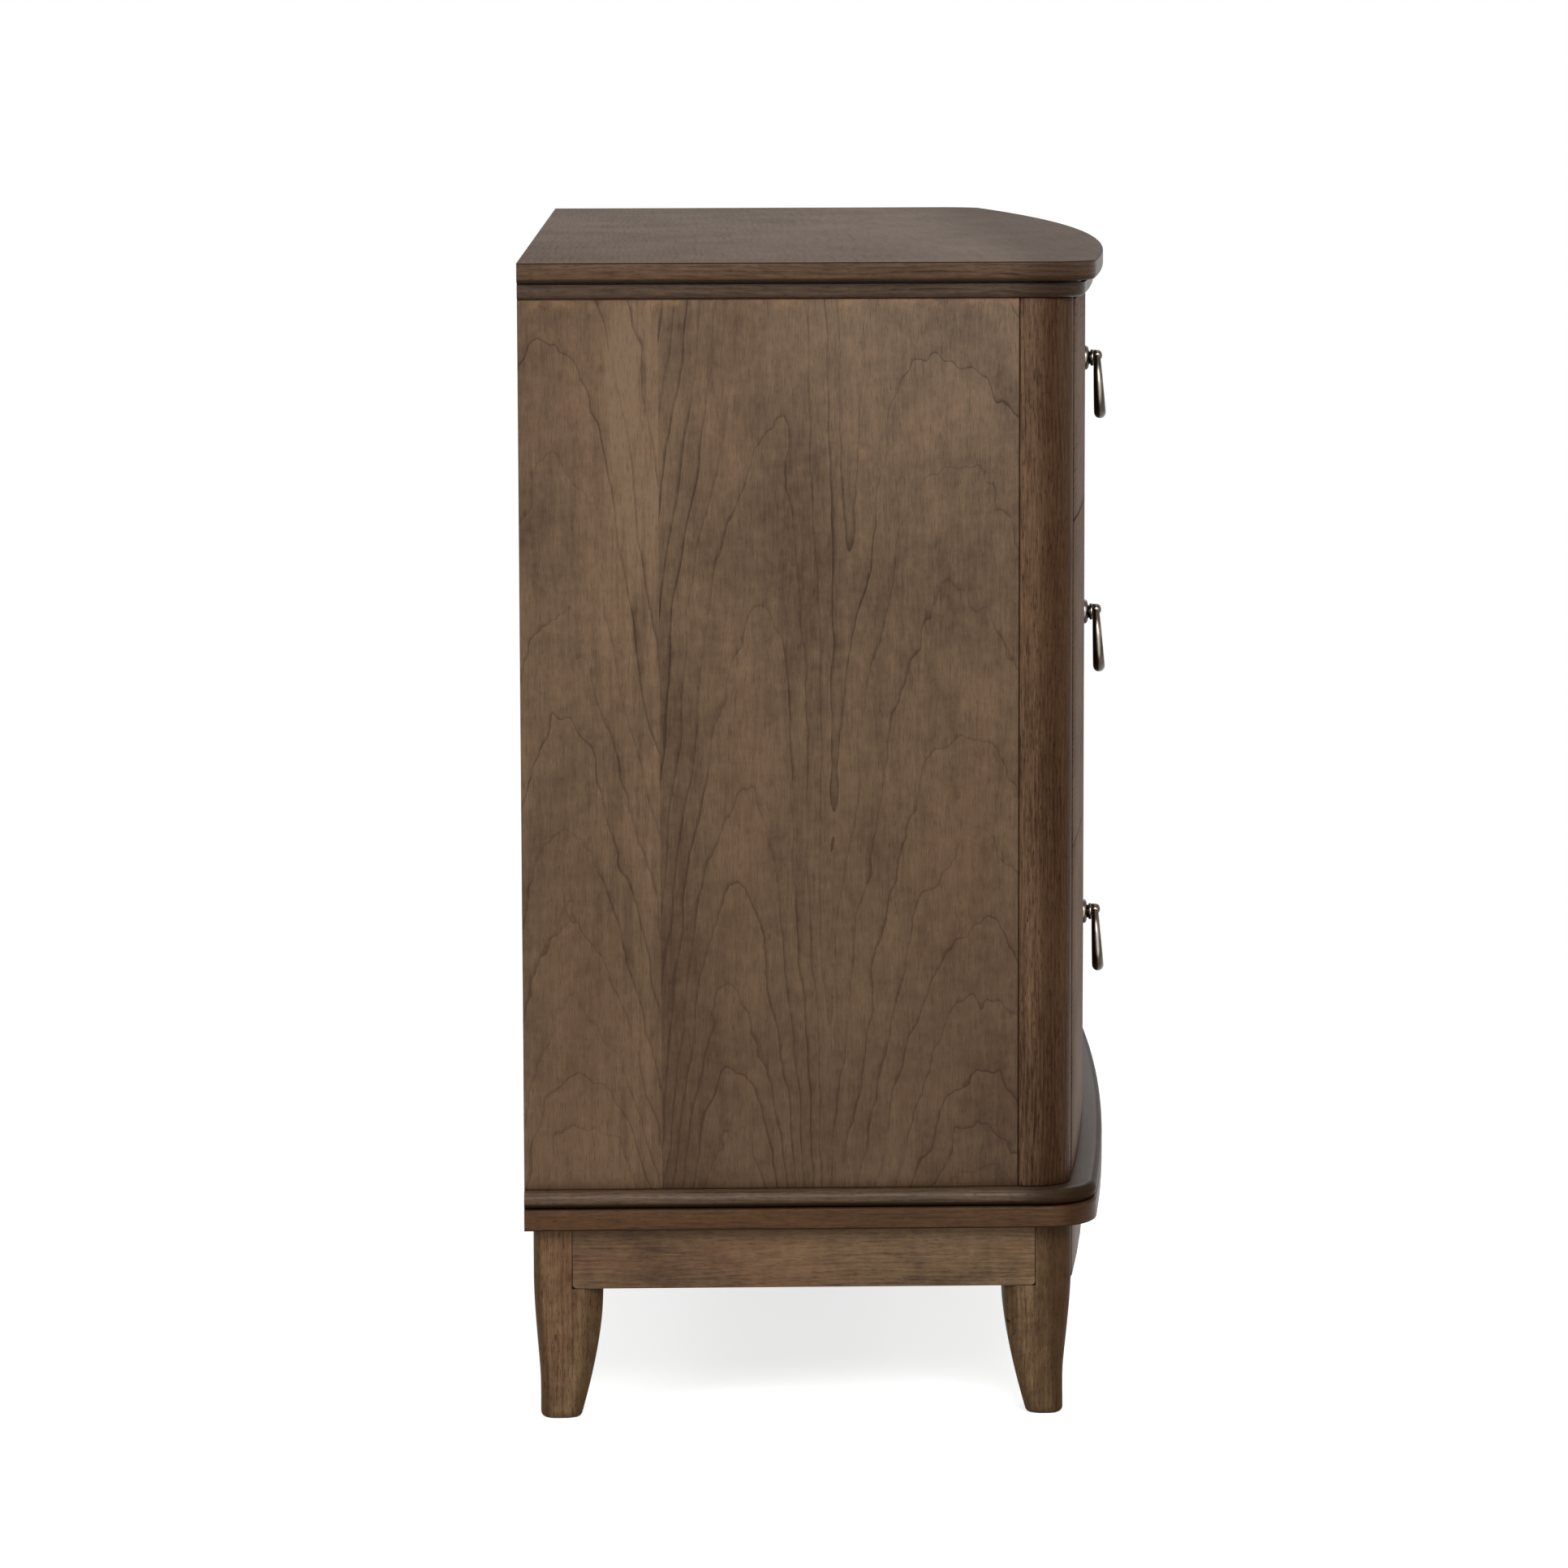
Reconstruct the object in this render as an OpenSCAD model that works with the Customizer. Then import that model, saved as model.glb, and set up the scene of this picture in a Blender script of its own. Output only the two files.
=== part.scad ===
// Bow-front dresser: two columns of three dovetailed drawers on sabre legs, each drawer with one ring pull.
// The origin is on the floor under the middle of the case. The front faces -Y and the width runs along X.

/* [Overall] */
// Width over the top
width = 1650; // [1400:10:1900]
// Height from the floor to the top surface
height = 965; // [900:5:1050]
// Depth of the top at its ends, where the bow meets the sides
end_depth = 470; // [430:5:520]
// How far the middle of the front bows out past its ends
bow = 54.5; // [30:0.5:80]

/* [Top] */
// Thickness of the top slab
top_t = 16; // [14:0.5:24]
// Thickness of the moulded board under the slab, quirk included
sub_top_t = 14; // [12:0.5:20]
// How far the moulded board stands back from the slab's edge
sub_top_inset = 8; // [5:0.5:12]
// Depth of the quirk between slab and moulding
quirk_depth = 4; // [2:0.5:6]
// Height of the quirk
quirk_h = 2; // [1:0.5:3]
// Radius of the slab's front corners in plan
corner_r = 46; // [36:1:60]
// Radius of the slab's eased upper arris
slab_ease = 1.5; // [0.5:0.5:3]
// Radius of the slab's rounded lower edge
slab_round = 4; // [2:0.5:6]
// Radius of the moulded board's rounded lower edge
sub_top_round = 5; // [3:0.5:8]

/* [Case] */
// How far the case sides stand in from the ends of the top
case_inset = 12; // [9:1:18]
// Thickness of the side panels
side_t = 20; // [16:1:25]
// Width of a corner post across the case
post_w = 35; // [32:1:44]
// Depth of a corner post from front to back
post_d = 46; // [40:1:60]
// Radius of the post's outer corner
post_r = 31; // [20:1:32]
// Thickness of the partition between the two columns
partition_t = 20; // [16:1:25]
// Thickness of the rails between drawers
rail_t = 18; // [15:1:22]
// Width of the rails from front to back
rail_w = 60; // [45:1:80]
// Thickness of the back panel
back_t = 5; // [4:0.5:8]
// How far the back panel lies inside the rear edge of the case
back_inset = 3; // [1:0.5:6]

/* [Base] */
// Height of the plain band above the legs
band_t = 18; // [14:0.5:24]
// Height of the half-round bead above the band
bead_t = 14.5; // [11:0.5:18]
// Radius of the band's eased arrises
band_ease = 2; // [1:0.5:4]
// Height of the underside of the band above the floor
leg_h = 164; // [140:1:200]
// Height of the aprons
apron_h = 52; // [40:1:70]
// Thickness of the aprons
apron_t = 20; // [16:1:24]
// How far the legs and aprons stand in from the band
leg_inset = 14; // [12:1:20]
// Width of a leg at its shoulder
leg_w = 57.5; // [50:0.5:64]
// Width of the part of a leg beside an apron
leg_cheek = 32; // [28:1:38]
// Width of a foot on the floor
foot_w = 29; // [24:1:36]
// How far a foot tucks in from the leg's outer face
foot_tuck = 7.5; // [4:0.5:12]
// Height of the diagonal corner braces
brace_h = 32; // [24:1:38]
// Width of a corner brace along the apron
brace_w = 30; // [20:1:40]
// Diameter of the centre leg under its plate
centre_leg_d = 42; // [34:1:50]
// Diameter of the centre leg at the floor
centre_foot_d = 30; // [22:1:34]
// Bevel round the centre leg's foot
centre_foot_bevel = 2; // [1:0.5:4]
// Width of the centre leg's plate
centre_plate_w = 90; // [70:5:120]
// Thickness of the centre leg's plate
centre_plate_t = 12; // [8:1:18]

/* [Drawers] */
// Height of the top drawer fronts
front_h_top = 182; // [160:1:200]
// Height of the middle drawer fronts
front_h_mid = 270.5; // [250:0.5:300]
// Thickness of the drawer fronts
front_t = 20; // [18:1:24]
// Gap between neighbouring fronts
front_gap = 1.5; // [1:0.5:3]
// Gap between the top and middle fronts
front_gap_top = 3; // [2:0.5:4]
// Gap above the top drawer fronts and under the bottom ones
end_gap = 2.5; // [2:0.5:5]
// Thickness of the drawer sides and backs
box_t = 12; // [10:0.5:15]
// Thickness of the drawer bottoms
box_bottom_t = 6; // [4:0.5:9]
// Height of a drawer bottom above the lower edge of the sides
bottom_up = 10; // [8:1:14]
// Gap between a drawer box and the faces beside it
box_gap = 3; // [2:0.5:5]
// Length of a dovetail
tail_l = 12; // [9:1:14]
// Width of a dovetail at its root
tail_w = 15; // [10:1:20]
// How much wider a dovetail is at its end
tail_flare = 5; // [3:0.5:7]
// Distance aimed at from one dovetail to the next
tail_pitch = 34; // [28:1:45]
// Height of the runners' running surface above the case bottom
runner_h = 10; // [8:1:14]

/* [Pulls] */
// Diameter of the rosette
rosette_d = 22; // [18:0.5:28]
// Distance from the drawer front to the ring's pivot
pivot_out = 11; // [10:0.5:14]
// Diameter of the barrel head that holds the ring
head_d = 10; // [9:0.5:12]
// Diameter of the pin that turns in the head
pin_d = 4; // [3:0.5:5]
// Diameter of the ring's wire beside the head
wire_top_d = 6; // [5:0.5:7]
// Diameter of the ring's wire at the bottom
wire_bottom_d = 9.4; // [8:0.2:11]
// Height of the ring from the pivot to the bottom of the wire
ring_drop = 56; // [46:1:66]
// Half the width of the ring, to the middle of the wire
ring_half_w = 18; // [15:0.5:24]
// How far the ring hangs out from the vertical
ring_tilt = 3.2; // [3:0.2:8]

/* [Hidden] */
$fn = 96;
bow_fn = 720;
far = 2000;

// The base stands a little further forward than the top and bows a little less
base_forward = 3.5;
base_flatter = 2.5;
base_bow = bow - base_flatter;
back_y = (end_depth + base_forward + base_bow) / 2;

// Heights of the layers, from the floor up
band_z = leg_h;
bead_z = band_z + band_t;
case_z = bead_z + bead_t;
slab_z = height - top_t;
sub_top_z = slab_z - sub_top_t;

half = width / 2;
case_half = half - case_inset;
inner_half = case_half - side_t;
post_inner = case_half - post_w;
post_setback = 13.5;
post_front = end_depth - post_setback;
post_back = post_front - post_d;

// The drawer fronts' bow, from one post to the other
post_gap = 1;
front_setback = 12;
front_flatter = 1.5;
front_half = post_inner - post_gap;
front_corner = end_depth - front_setback;
front_bow = bow - front_flatter;
front_R = bow_radius(front_half, front_bow);
front_C = bow_centre(front_half, front_corner, front_bow);
rail_setback = 1.5;
rail_R = front_R - front_t - rail_setback;
meeting_gap = 1.5;

// Heights of the fronts: top, middle and bottom row
top_hi = sub_top_z - end_gap;
top_lo = top_hi - front_h_top;
mid_hi = top_lo - front_gap_top;
mid_lo = mid_hi - front_h_mid;
low_hi = mid_lo - front_gap;
low_lo = case_z + 2 * end_gap;
FRONT_LO = [top_lo, mid_lo, low_lo];
FRONT_HI = [top_hi, mid_hi, low_hi];

// Rails lie behind the gaps, and the drawers run on their upper faces
rail_mid_z = (top_lo + mid_hi) / 2 - rail_t / 2;
rail_low_z = (mid_lo + low_hi) / 2 - rail_t / 2;
top_rail_more = 4;
top_rail_t = rail_t + top_rail_more;
top_rail_z = sub_top_z - top_rail_t;
slide_fit = 0.3;
RUN_Z = [rail_mid_z + rail_t, rail_low_z + rail_t, case_z + runner_h];
CEILING_Z = [top_rail_z, rail_mid_z, rail_low_z];
box_head_room = 10;
function box_z(row) = RUN_Z[row] + slide_fit;
function box_top(row) = CEILING_Z[row] - box_head_room;

// A drawer box, left column: outer side next to the post, inner side next to the partition
rear_room = 16;
box_back = back_inset + back_t + rear_room;
box_out = front_half - box_gap;
box_in = partition_t / 2 + box_gap;
groove = box_t / 2;

// The pull sits in the middle of its front's width, with the whole pull centred on its height
pull_x = (front_half + meeting_gap) / 2;
pull_turn = asin(pull_x / front_R);
pull_rise = 23;
head_up = 2;
ring_h = ring_drop - wire_bottom_d / 2;
bore_fit = 0.05;
screw_bore_d = 5;
pull_thread_d = 3.4;

ROWS = ["top", "mid", "low"];

CASE_WOOD = [0.36, 0.28, 0.22];
POST_WOOD = [0.30, 0.21, 0.15];
TOP_WOOD = [0.42, 0.38, 0.35];
EDGE_WOOD = [0.33, 0.25, 0.19];
LEG_WOOD = [0.38, 0.29, 0.21];
BOX_WOOD = [0.80, 0.68, 0.50];
PLY_WOOD = [0.72, 0.60, 0.44];
PEWTER = [0.42, 0.39, 0.36];

// Radius of the circle that bows out by b over a chord from -h to h
function bow_radius(h, b) = (h * h + b * b) / (2 * b);
// Distance of that circle's centre in front of the back plane, negative when it lies behind
function bow_centre(h, d, b) = d + b - bow_radius(h, b);
// Distance in front of the back plane of a point of a circle of radius R
function on_bow(R, C, x) = C + sqrt(R * R - x * x);

// How far a board's core reaches into its shaped edge
core_lap = 10;

// Everything is drawn with y measured forward from the back plane, then set to face -Y
module placed() {
  translate([0, back_y, 0])
    mirror([0, 1, 0])
      children();
}

// The right half is the left half mirrored
module side_of(side) {
  if (side == "left") mirror([1, 0, 0]) children();
  else children();
}

// Moves in two steps, so that the small rest of a large distance keeps all its digits
module shift(x, y) {
  near_x = round(100 * x) / 100;
  near_y = round(100 * y) / 100;
  translate([near_x, near_y, 0])
    translate([x - near_x, y - near_y, 0])
      children();
}

// A board of thickness t with a bowed front and round front corners, its edge shaped by a profile.
// The profile runs from x = 0 to x = r, where r is the radius of the corners. Each corner is a disc
// that lies inside the bow and the straight side and touches them where they end. The bow ends on
// seams that run from its centre through the discs' centres.
module bowed_board(h, d, b, r, t) {
  R = bow_radius(h, b);
  C = bow_centre(h, d, b);
  corner_x = h - r;
  corner_y = on_bow(R - r, C, corner_x);
  sweep = asin(corner_x / (R - r));
  difference() {
    union() {
      linear_extrude(height = t)
        intersection() {
          translate([-corner_x - core_lap, -1])
            square([2 * (corner_x + core_lap), far]);
          shift(0, C)
            circle(r = R - r + core_lap, $fn = bow_fn);
        }
      difference() {
        shift(0, C)
          rotate_extrude(angle = 180, $fn = bow_fn)
            shift(R - r, 0)
              children();
        for (s = [0, 1])
          mirror([s, 0, 0])
            shift(corner_x, corner_y)
              beyond_seam(sweep, 3 * R, t);
      }
      for (s = [0, 1])
        mirror([s, 0, 0])
          shift(corner_x, corner_y) {
            rotate_extrude()
              children();
            rotate([90, 0, 0])
              linear_extrude(height = corner_y + 1)
                children();
          }
    }
    translate([-far, -far, -1])
      cube([2 * far, far, t + 2]);
  }
}

// A large block on the outer side of a seam that leans sideways by the angle sweep
module beyond_seam(sweep, reach, t) {
  along = reach * [sin(sweep), cos(sweep)];
  across = reach * [cos(sweep), -sin(sweep)];
  translate([0, 0, -1])
    linear_extrude(height = t + 2)
      polygon([-along, along, along + across, across - along]);
}

// What a round-over of radius r takes off a square corner at the origin
module corner_waste(r) {
  difference() {
    translate([-r, -r])
      square([r + 1, r + 1]);
    translate([-r, -r])
      circle(r = r);
  }
}

module slab_profile() {
  difference() {
    square([corner_r, top_t]);
    translate([corner_r, top_t])
      corner_waste(slab_ease);
    translate([corner_r, 0])
      mirror([0, 1])
        corner_waste(slab_round);
  }
}

module top_panel() {
  color(TOP_WOOD)
    placed()
      translate([0, 0, slab_z])
        bowed_board(half, end_depth, bow, corner_r, top_t)
          slab_profile();
}

module sub_top_profile() {
  r = corner_r - sub_top_inset;
  difference() {
    square([r, sub_top_t]);
    translate([r - quirk_depth, sub_top_t - quirk_h])
      square([quirk_depth + 1, quirk_h + 1]);
    translate([r, 0])
      mirror([0, 1])
        corner_waste(sub_top_round);
  }
}

module sub_top() {
  color(EDGE_WOOD)
    placed()
      translate([0, 0, sub_top_z])
        bowed_board(half - sub_top_inset, end_depth - sub_top_inset, bow, corner_r - sub_top_inset, sub_top_t)
          sub_top_profile();
}

module bead_profile() {
  square([corner_r - bead_t / 2, bead_t]);
  intersection() {
    translate([corner_r - bead_t / 2, bead_t / 2])
      circle(d = bead_t);
    square([corner_r, bead_t]);
  }
}

module case_bottom() {
  color(EDGE_WOOD)
    placed()
      translate([0, 0, bead_z])
        bowed_board(half, end_depth + base_forward, base_bow, corner_r, bead_t)
          bead_profile();
}

module band_profile() {
  difference() {
    square([corner_r, band_t]);
    translate([corner_r, band_t])
      corner_waste(band_ease);
    translate([corner_r, 0])
      mirror([0, 1])
        corner_waste(band_ease);
  }
}

module base_board() {
  color(EDGE_WOOD)
    placed()
      translate([0, 0, band_z])
        bowed_board(half, end_depth + base_forward, base_bow, corner_r, band_t)
          band_profile();
}

// Side panels: a rabbet at the back takes the back panel, and the front edge is eased beside the post
module side_panel(side) {
  seam_ease = 1;
  rabbet = side_t / 2;
  back_seat = back_inset + back_t;
  color(CASE_WOOD)
    placed()
      side_of(side)
        translate([0, 0, case_z])
          linear_extrude(height = sub_top_z - case_z)
            polygon([
              [inner_half + rabbet, 0],
              [case_half, 0],
              [case_half, post_back - seam_ease],
              [case_half - seam_ease, post_back],
              [inner_half, post_back],
              [inner_half, back_seat],
              [inner_half + rabbet, back_seat]
            ]);
}

module corner_post(side) {
  seam_ease = 1;
  color(POST_WOOD)
    placed()
      side_of(side)
        translate([0, 0, case_z])
          linear_extrude(height = sub_top_z - case_z)
            difference() {
              translate([post_inner, post_back])
                square([post_w, post_d]);
              translate([case_half, post_front])
                corner_waste(post_r);
              polygon([
                [case_half - seam_ease, post_back],
                [case_half + 1, post_back - 1],
                [case_half + 1, post_back + seam_ease + 1]
              ]);
            }
}

module centre_partition() {
  front_y = on_bow(rail_R, front_C, partition_t / 2);
  back_seat = back_inset + back_t;
  color(CASE_WOOD)
    placed()
      translate([-partition_t / 2, back_seat, case_z])
        cube([partition_t, front_y - back_seat, top_rail_z - case_z]);
}

// A strip behind the drawer fronts, bowed in front and straight behind
module bowed_rail(x0, x1, z, t) {
  back_edge = on_bow(rail_R, front_C, x1) - rail_w;
  translate([0, 0, z])
    linear_extrude(height = t)
      intersection() {
        translate([x0, back_edge])
          square([x1 - x0, far]);
        translate([0, front_C])
          circle(r = rail_R, $fn = bow_fn);
      }
}

module top_rails() {
  back_seat = back_inset + back_t;
  color(BOX_WOOD)
    placed() {
      bowed_rail(-post_inner, post_inner, top_rail_z, top_rail_t);
      translate([-inner_half, back_seat, top_rail_z])
        cube([2 * inner_half, rail_w, top_rail_t]);
    }
}

module drawer_rails() {
  color(EDGE_WOOD)
    placed()
      for (side = ["left", "right"], z = [rail_mid_z, rail_low_z])
        side_of(side)
          bowed_rail(partition_t / 2, post_inner, z, rail_t);
}

// Wooden runners: a ledge carries the drawer side and a lip beside it guides it
stop_t = 8;
runner_back = box_back - stop_t;
runner_end_gap = 4;
guide_h = 12;
guide_fit = 0.4;
ledge_overlap = 2;

module runner_pair(row) {
  run_z = RUN_Z[row];
  ledge_t = row == 2 ? runner_h : rail_t;
  front_end = on_bow(rail_R, front_C, post_inner) - rail_w;
  front_y = row == 2 ? post_back - runner_end_gap : front_end;
  outer_lip = box_out + guide_fit;
  inner_lip = box_in - guide_fit;
  translate([0, front_y, 0])
    rotate([90, 0, 0])
      linear_extrude(height = front_y - runner_back) {
        polygon([
          [inner_half, run_z - ledge_t],
          [inner_half, run_z + guide_h],
          [outer_lip, run_z + guide_h],
          [outer_lip, run_z],
          [box_out - box_t - ledge_overlap, run_z],
          [box_out - box_t - ledge_overlap, run_z - ledge_t]
        ]);
        polygon([
          [partition_t / 2, run_z - ledge_t],
          [partition_t / 2, run_z + guide_h],
          [inner_lip, run_z + guide_h],
          [inner_lip, run_z],
          [box_in + box_t + ledge_overlap, run_z],
          [box_in + box_t + ledge_overlap, run_z - ledge_t]
        ]);
      }
}

module drawer_runners() {
  color(BOX_WOOD)
    placed()
      for (side = ["left", "right"], row = [0:2])
        side_of(side)
          runner_pair(row);
}

// A block on the end of each runner stops the drawer when it is shut
module drawer_stops() {
  stop_h = 24;
  stop_l = stop_t - slide_fit;
  color(BOX_WOOD)
    placed()
      for (side = ["left", "right"], row = [0:2])
        side_of(side)
          for (x = [box_out - box_t, box_in])
            translate([x, runner_back, RUN_Z[row]])
              cube([box_t, stop_l, stop_h]);
}

module back_panel() {
  back_half = inner_half + side_t / 2;
  color(PLY_WOOD)
    placed()
      translate([-back_half, back_inset, case_z])
        cube([2 * back_half, back_t, sub_top_z - case_z]);
}

// Aprons join the legs under the band
apron_z = leg_h - apron_h;
leg_half = half - leg_inset;
leg_forward = 1;
leg_front = post_front + leg_forward;
leg_back = leg_inset / 2;
apron_proud = 0.5;
apron_R = front_R + apron_proud;

module side_apron(side) {
  color(LEG_WOOD)
    placed()
      side_of(side)
        translate([leg_half - apron_t, leg_back + leg_cheek, apron_z])
          cube([apron_t, leg_front - leg_back - 2 * leg_cheek, apron_h]);
}

module rear_apron() {
  apron_half = leg_half - leg_cheek;
  color(LEG_WOOD)
    placed()
      translate([-apron_half, leg_back, apron_z])
        cube([2 * apron_half, apron_t, apron_h]);
}

module front_apron() {
  apron_half = leg_half - leg_cheek;
  color(LEG_WOOD)
    placed()
      translate([0, 0, apron_z])
        linear_extrude(height = apron_h)
          intersection() {
            translate([-apron_half, leg_front - leg_w])
              square([2 * apron_half, far]);
            difference() {
              translate([0, front_C])
                circle(r = apron_R, $fn = bow_fn);
              translate([0, front_C])
                circle(r = apron_R - apron_t, $fn = bow_fn);
            }
          }
}

// Sabre legs are lofted through rounded squares. At each height the outer faces lie at
// outer(z) and the inner ones at inner(z), both measured in from the leg's outer corner.
curve_h = 130;
swell_h = 92;
swell_in = 5.5;
foot_round = 3;
rear_leg_r = 9;
function ease(u) = u >= 1 ? 1 : u * u * (3 - 2 * u);
function outer(z) = foot_tuck * (1 - ease(z / curve_h));
function bend(t, a, b, c) = (1 - t) * (1 - t) * a + 2 * t * (1 - t) * b + t * t * c;
function inner(t) = bend(t, foot_tuck + foot_w, leg_w - swell_in, leg_w);

// One section: a square with its corners rounded, the first corner being the leg's outer one
arc_steps = 4;
function arc_points(cx, cy, r, a0) =
  [for (k = [0:arc_steps])
    let (a = a0 + 90 * k / arc_steps)
      [cx + r * cos(a), cy + r * sin(a)]];
function leg_section(o, i, ro, ri) = concat(
  arc_points(o + ro, o + ro, ro, 180),
  arc_points(i - ri, o + ri, ri, 270),
  arc_points(i - ri, i - ri, ri, 0),
  arc_points(o + ri, i - ri, ri, 90)
);

// Stations up the leg: [height, outer, inner, trim]; the trim rounds the edge of the foot
bend_steps = 9;
first_z = 4;
STATIONS = concat(
  [[0, outer(0), inner(0), foot_round], [0.4 * foot_round, outer(0), inner(0), 0.3 * foot_round]],
  [for (k = [1:bend_steps])
    let (t = k / bend_steps, z = max(bend(t, 0, swell_h / 2, swell_h), first_z))
      [z, outer(z), inner(t), 0]],
  [[curve_h, outer(curve_h), leg_w, 0], [leg_h, 0, leg_w, 0]]
);

module leg_loft(corner_r_top) {
  corner_r_foot = 9;
  inner_r = 7;
  rings = [for (s = STATIONS)
    let (ro = corner_r_foot + (corner_r_top - corner_r_foot) * ease(s[0] / curve_h))
      [for (p = leg_section(s[1] + s[3], s[2] - s[3], ro - s[3], inner_r - s[3])) [p[0], p[1], s[0]]]];
  n = len(rings[0]);
  m = len(rings);
  points = [for (ring = rings) each ring];
  walls = [for (j = [0:m - 2], k = [0:n - 1])
    let (a = j * n + k, b = j * n + (k + 1) % n)
      each [[a, a + n, b], [b, a + n, b + n]]];
  floor_cap = [for (k = [1:n - 2]) [0, k, k + 1]];
  head_cap = [for (k = [1:n - 2]) [(m - 1) * n, (m - 1) * n + k + 1, (m - 1) * n + k]];
  polyhedron(points = points, faces = concat(walls, floor_cap, head_cap));
}

// Notches for the aprons are cut out of the loft, so that the aprons lie on its shoulders
module leg_at(x_out, y_out, front) {
  difference() {
    translate([x_out, y_out, 0])
      rotate([0, 0, front ? 180 : 90])
        leg_loft(front ? post_r : rear_leg_r);
    translate([x_out - apron_t, front ? y_out - leg_w - 1 : y_out + leg_cheek, apron_z])
      cube([apron_t + 1, leg_w - leg_cheek + 1, apron_h + 1]);
    translate([x_out - leg_w - 1, front ? y_out - apron_t : y_out - 1, apron_z])
      cube([leg_w - leg_cheek + 1, apron_t + 1, apron_h + 1]);
  }
}

module leg(side, front) {
  color(LEG_WOOD)
    placed()
      side_of(side)
        leg_at(leg_half, front ? leg_front : leg_back, front);
}

// Diagonal braces tie the aprons together behind each leg
module corner_braces() {
  leg_clear = 35;
  reach = 2 * (leg_w - apron_t) + leg_clear;
  color(BOX_WOOD)
    placed()
      for (side = ["left", "right"])
        side_of(side)
          translate([0, 0, leg_h - brace_h])
            linear_extrude(height = brace_h) {
              brace_plan(brace_w, reach, leg_back + apron_t, 1, 0);
              intersection() {
                brace_plan(brace_w, reach, leg_front - apron_t, -1, bow / 2);
                translate([0, front_C])
                  circle(r = apron_R - apron_t, $fn = bow_fn);
              }
            }
}

// A diagonal strip from the side apron to the front or rear one, whose face lies at y0
module brace_plan(w, reach, y0, toward, over) {
  x0 = leg_half - apron_t;
  polygon([
    [x0, y0 + toward * reach],
    [x0, y0 + toward * (reach + w)],
    [x0 - reach - w - over, y0 - toward * over],
    [x0 - reach - over, y0 - toward * over]
  ]);
}

// A plain turned leg under the middle of the wide base
module centre_leg() {
  shoulder_z = leg_h - centre_plate_t;
  color(LEG_WOOD)
    placed()
      translate([0, end_depth / 2, 0]) {
        rotate_extrude()
          polygon([
            [0, 0],
            [centre_foot_d / 2 - centre_foot_bevel, 0],
            [centre_foot_d / 2, 1.5 * centre_foot_bevel],
            [centre_leg_d / 2, shoulder_z],
            [0, shoulder_z]
          ]);
        translate([-centre_plate_w / 2, -centre_plate_w / 2, shoulder_z])
          cube([centre_plate_w, centre_plate_w, centre_plate_t]);
      }
}

// Dovetails stand along the end of a drawer side, evenly spaced over its height
function tail_count(h) = max(2, round(h / tail_pitch));

// Side view of one row of tails on a board of height h, pointing along +x from x = 0
module tail_row(h) {
  n = tail_count(h);
  for (k = [0:n - 1])
    translate([0, (k + 0.5) * h / n])
      polygon([
        [-1, -tail_w / 2],
        [0, -tail_w / 2],
        [tail_l, -tail_w / 2 - tail_flare / 2],
        [tail_l, tail_w / 2 + tail_flare / 2],
        [0, tail_w / 2],
        [-1, tail_w / 2]
      ]);
}

// The tails of one drawer side at its front end, as a solid of the side's thickness
module front_tails(row, x0) {
  h = box_top(row) - box_z(row);
  root = on_bow(front_R - front_t, front_C, x0 + box_t / 2);
  translate([x0, root, box_z(row)])
    rotate([90, 0, 90])
      linear_extrude(height = box_t)
        tail_row(h);
}

module back_tails(row, x0) {
  h = box_top(row) - box_z(row);
  translate([x0, box_back + box_t, box_z(row)])
    rotate([90, 0, 90])
      linear_extrude(height = box_t)
        mirror([1, 0])
          tail_row(h);
}

module bottom_groove(row, x0, x1, y0, y1, up) {
  translate([x0, y0, box_z(row) + bottom_up])
    cube([x1 - x0, y1 - y0, box_bottom_t + up]);
}

module drawer_front(row, side) {
  color(POST_WOOD)
    placed()
      side_of(side)
        difference() {
          translate([0, 0, FRONT_LO[row]])
            linear_extrude(height = FRONT_HI[row] - FRONT_LO[row])
              intersection() {
                translate([meeting_gap, front_corner - 2 * front_t])
                  square([front_half - meeting_gap, far]);
                difference() {
                  translate([0, front_C])
                    circle(r = front_R, $fn = bow_fn);
                  translate([0, front_C])
                    circle(r = front_R - front_t, $fn = bow_fn);
                }
              }
          front_tails(row, box_out - box_t);
          front_tails(row, box_in);
          intersection() {
            bottom_groove(row, box_in + groove, box_out - groove, front_corner - 2 * front_t, far, 0);
            translate([0, front_C, 0])
              cylinder(r = front_R - front_t + groove, h = height, $fn = bow_fn);
          }
          pull_frame(row)
            rotate([90, 0, 0])
              cylinder(d = screw_bore_d, h = 4 * front_t, center = true);
        }
}

module drawer_side_board(row, x0) {
  h = box_top(row) - box_z(row);
  difference() {
    union() {
      translate([0, 0, box_z(row)])
        linear_extrude(height = h)
          intersection() {
            translate([x0, box_back + box_t])
              square([box_t, far]);
            translate([0, front_C])
              circle(r = front_R - front_t, $fn = bow_fn);
          }
      front_tails(row, x0);
      back_tails(row, x0);
    }
    if (x0 > box_in + box_t)
      bottom_groove(row, x0 - 1, x0 + groove, 0, far, 0);
    else
      bottom_groove(row, x0 + groove, x0 + box_t + 1, 0, far, 0);
  }
}

module drawer_sides(row, side) {
  color(BOX_WOOD)
    placed()
      side_of(side) {
        drawer_side_board(row, box_out - box_t);
        drawer_side_board(row, box_in);
      }
}

module drawer_back(row, side) {
  z0 = box_z(row) + bottom_up + box_bottom_t;
  color(BOX_WOOD)
    placed()
      side_of(side)
        difference() {
          translate([box_in, box_back, z0])
            cube([box_out - box_in, box_t, box_top(row) - z0]);
          back_tails(row, box_out - box_t);
          back_tails(row, box_in);
        }
}

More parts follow.
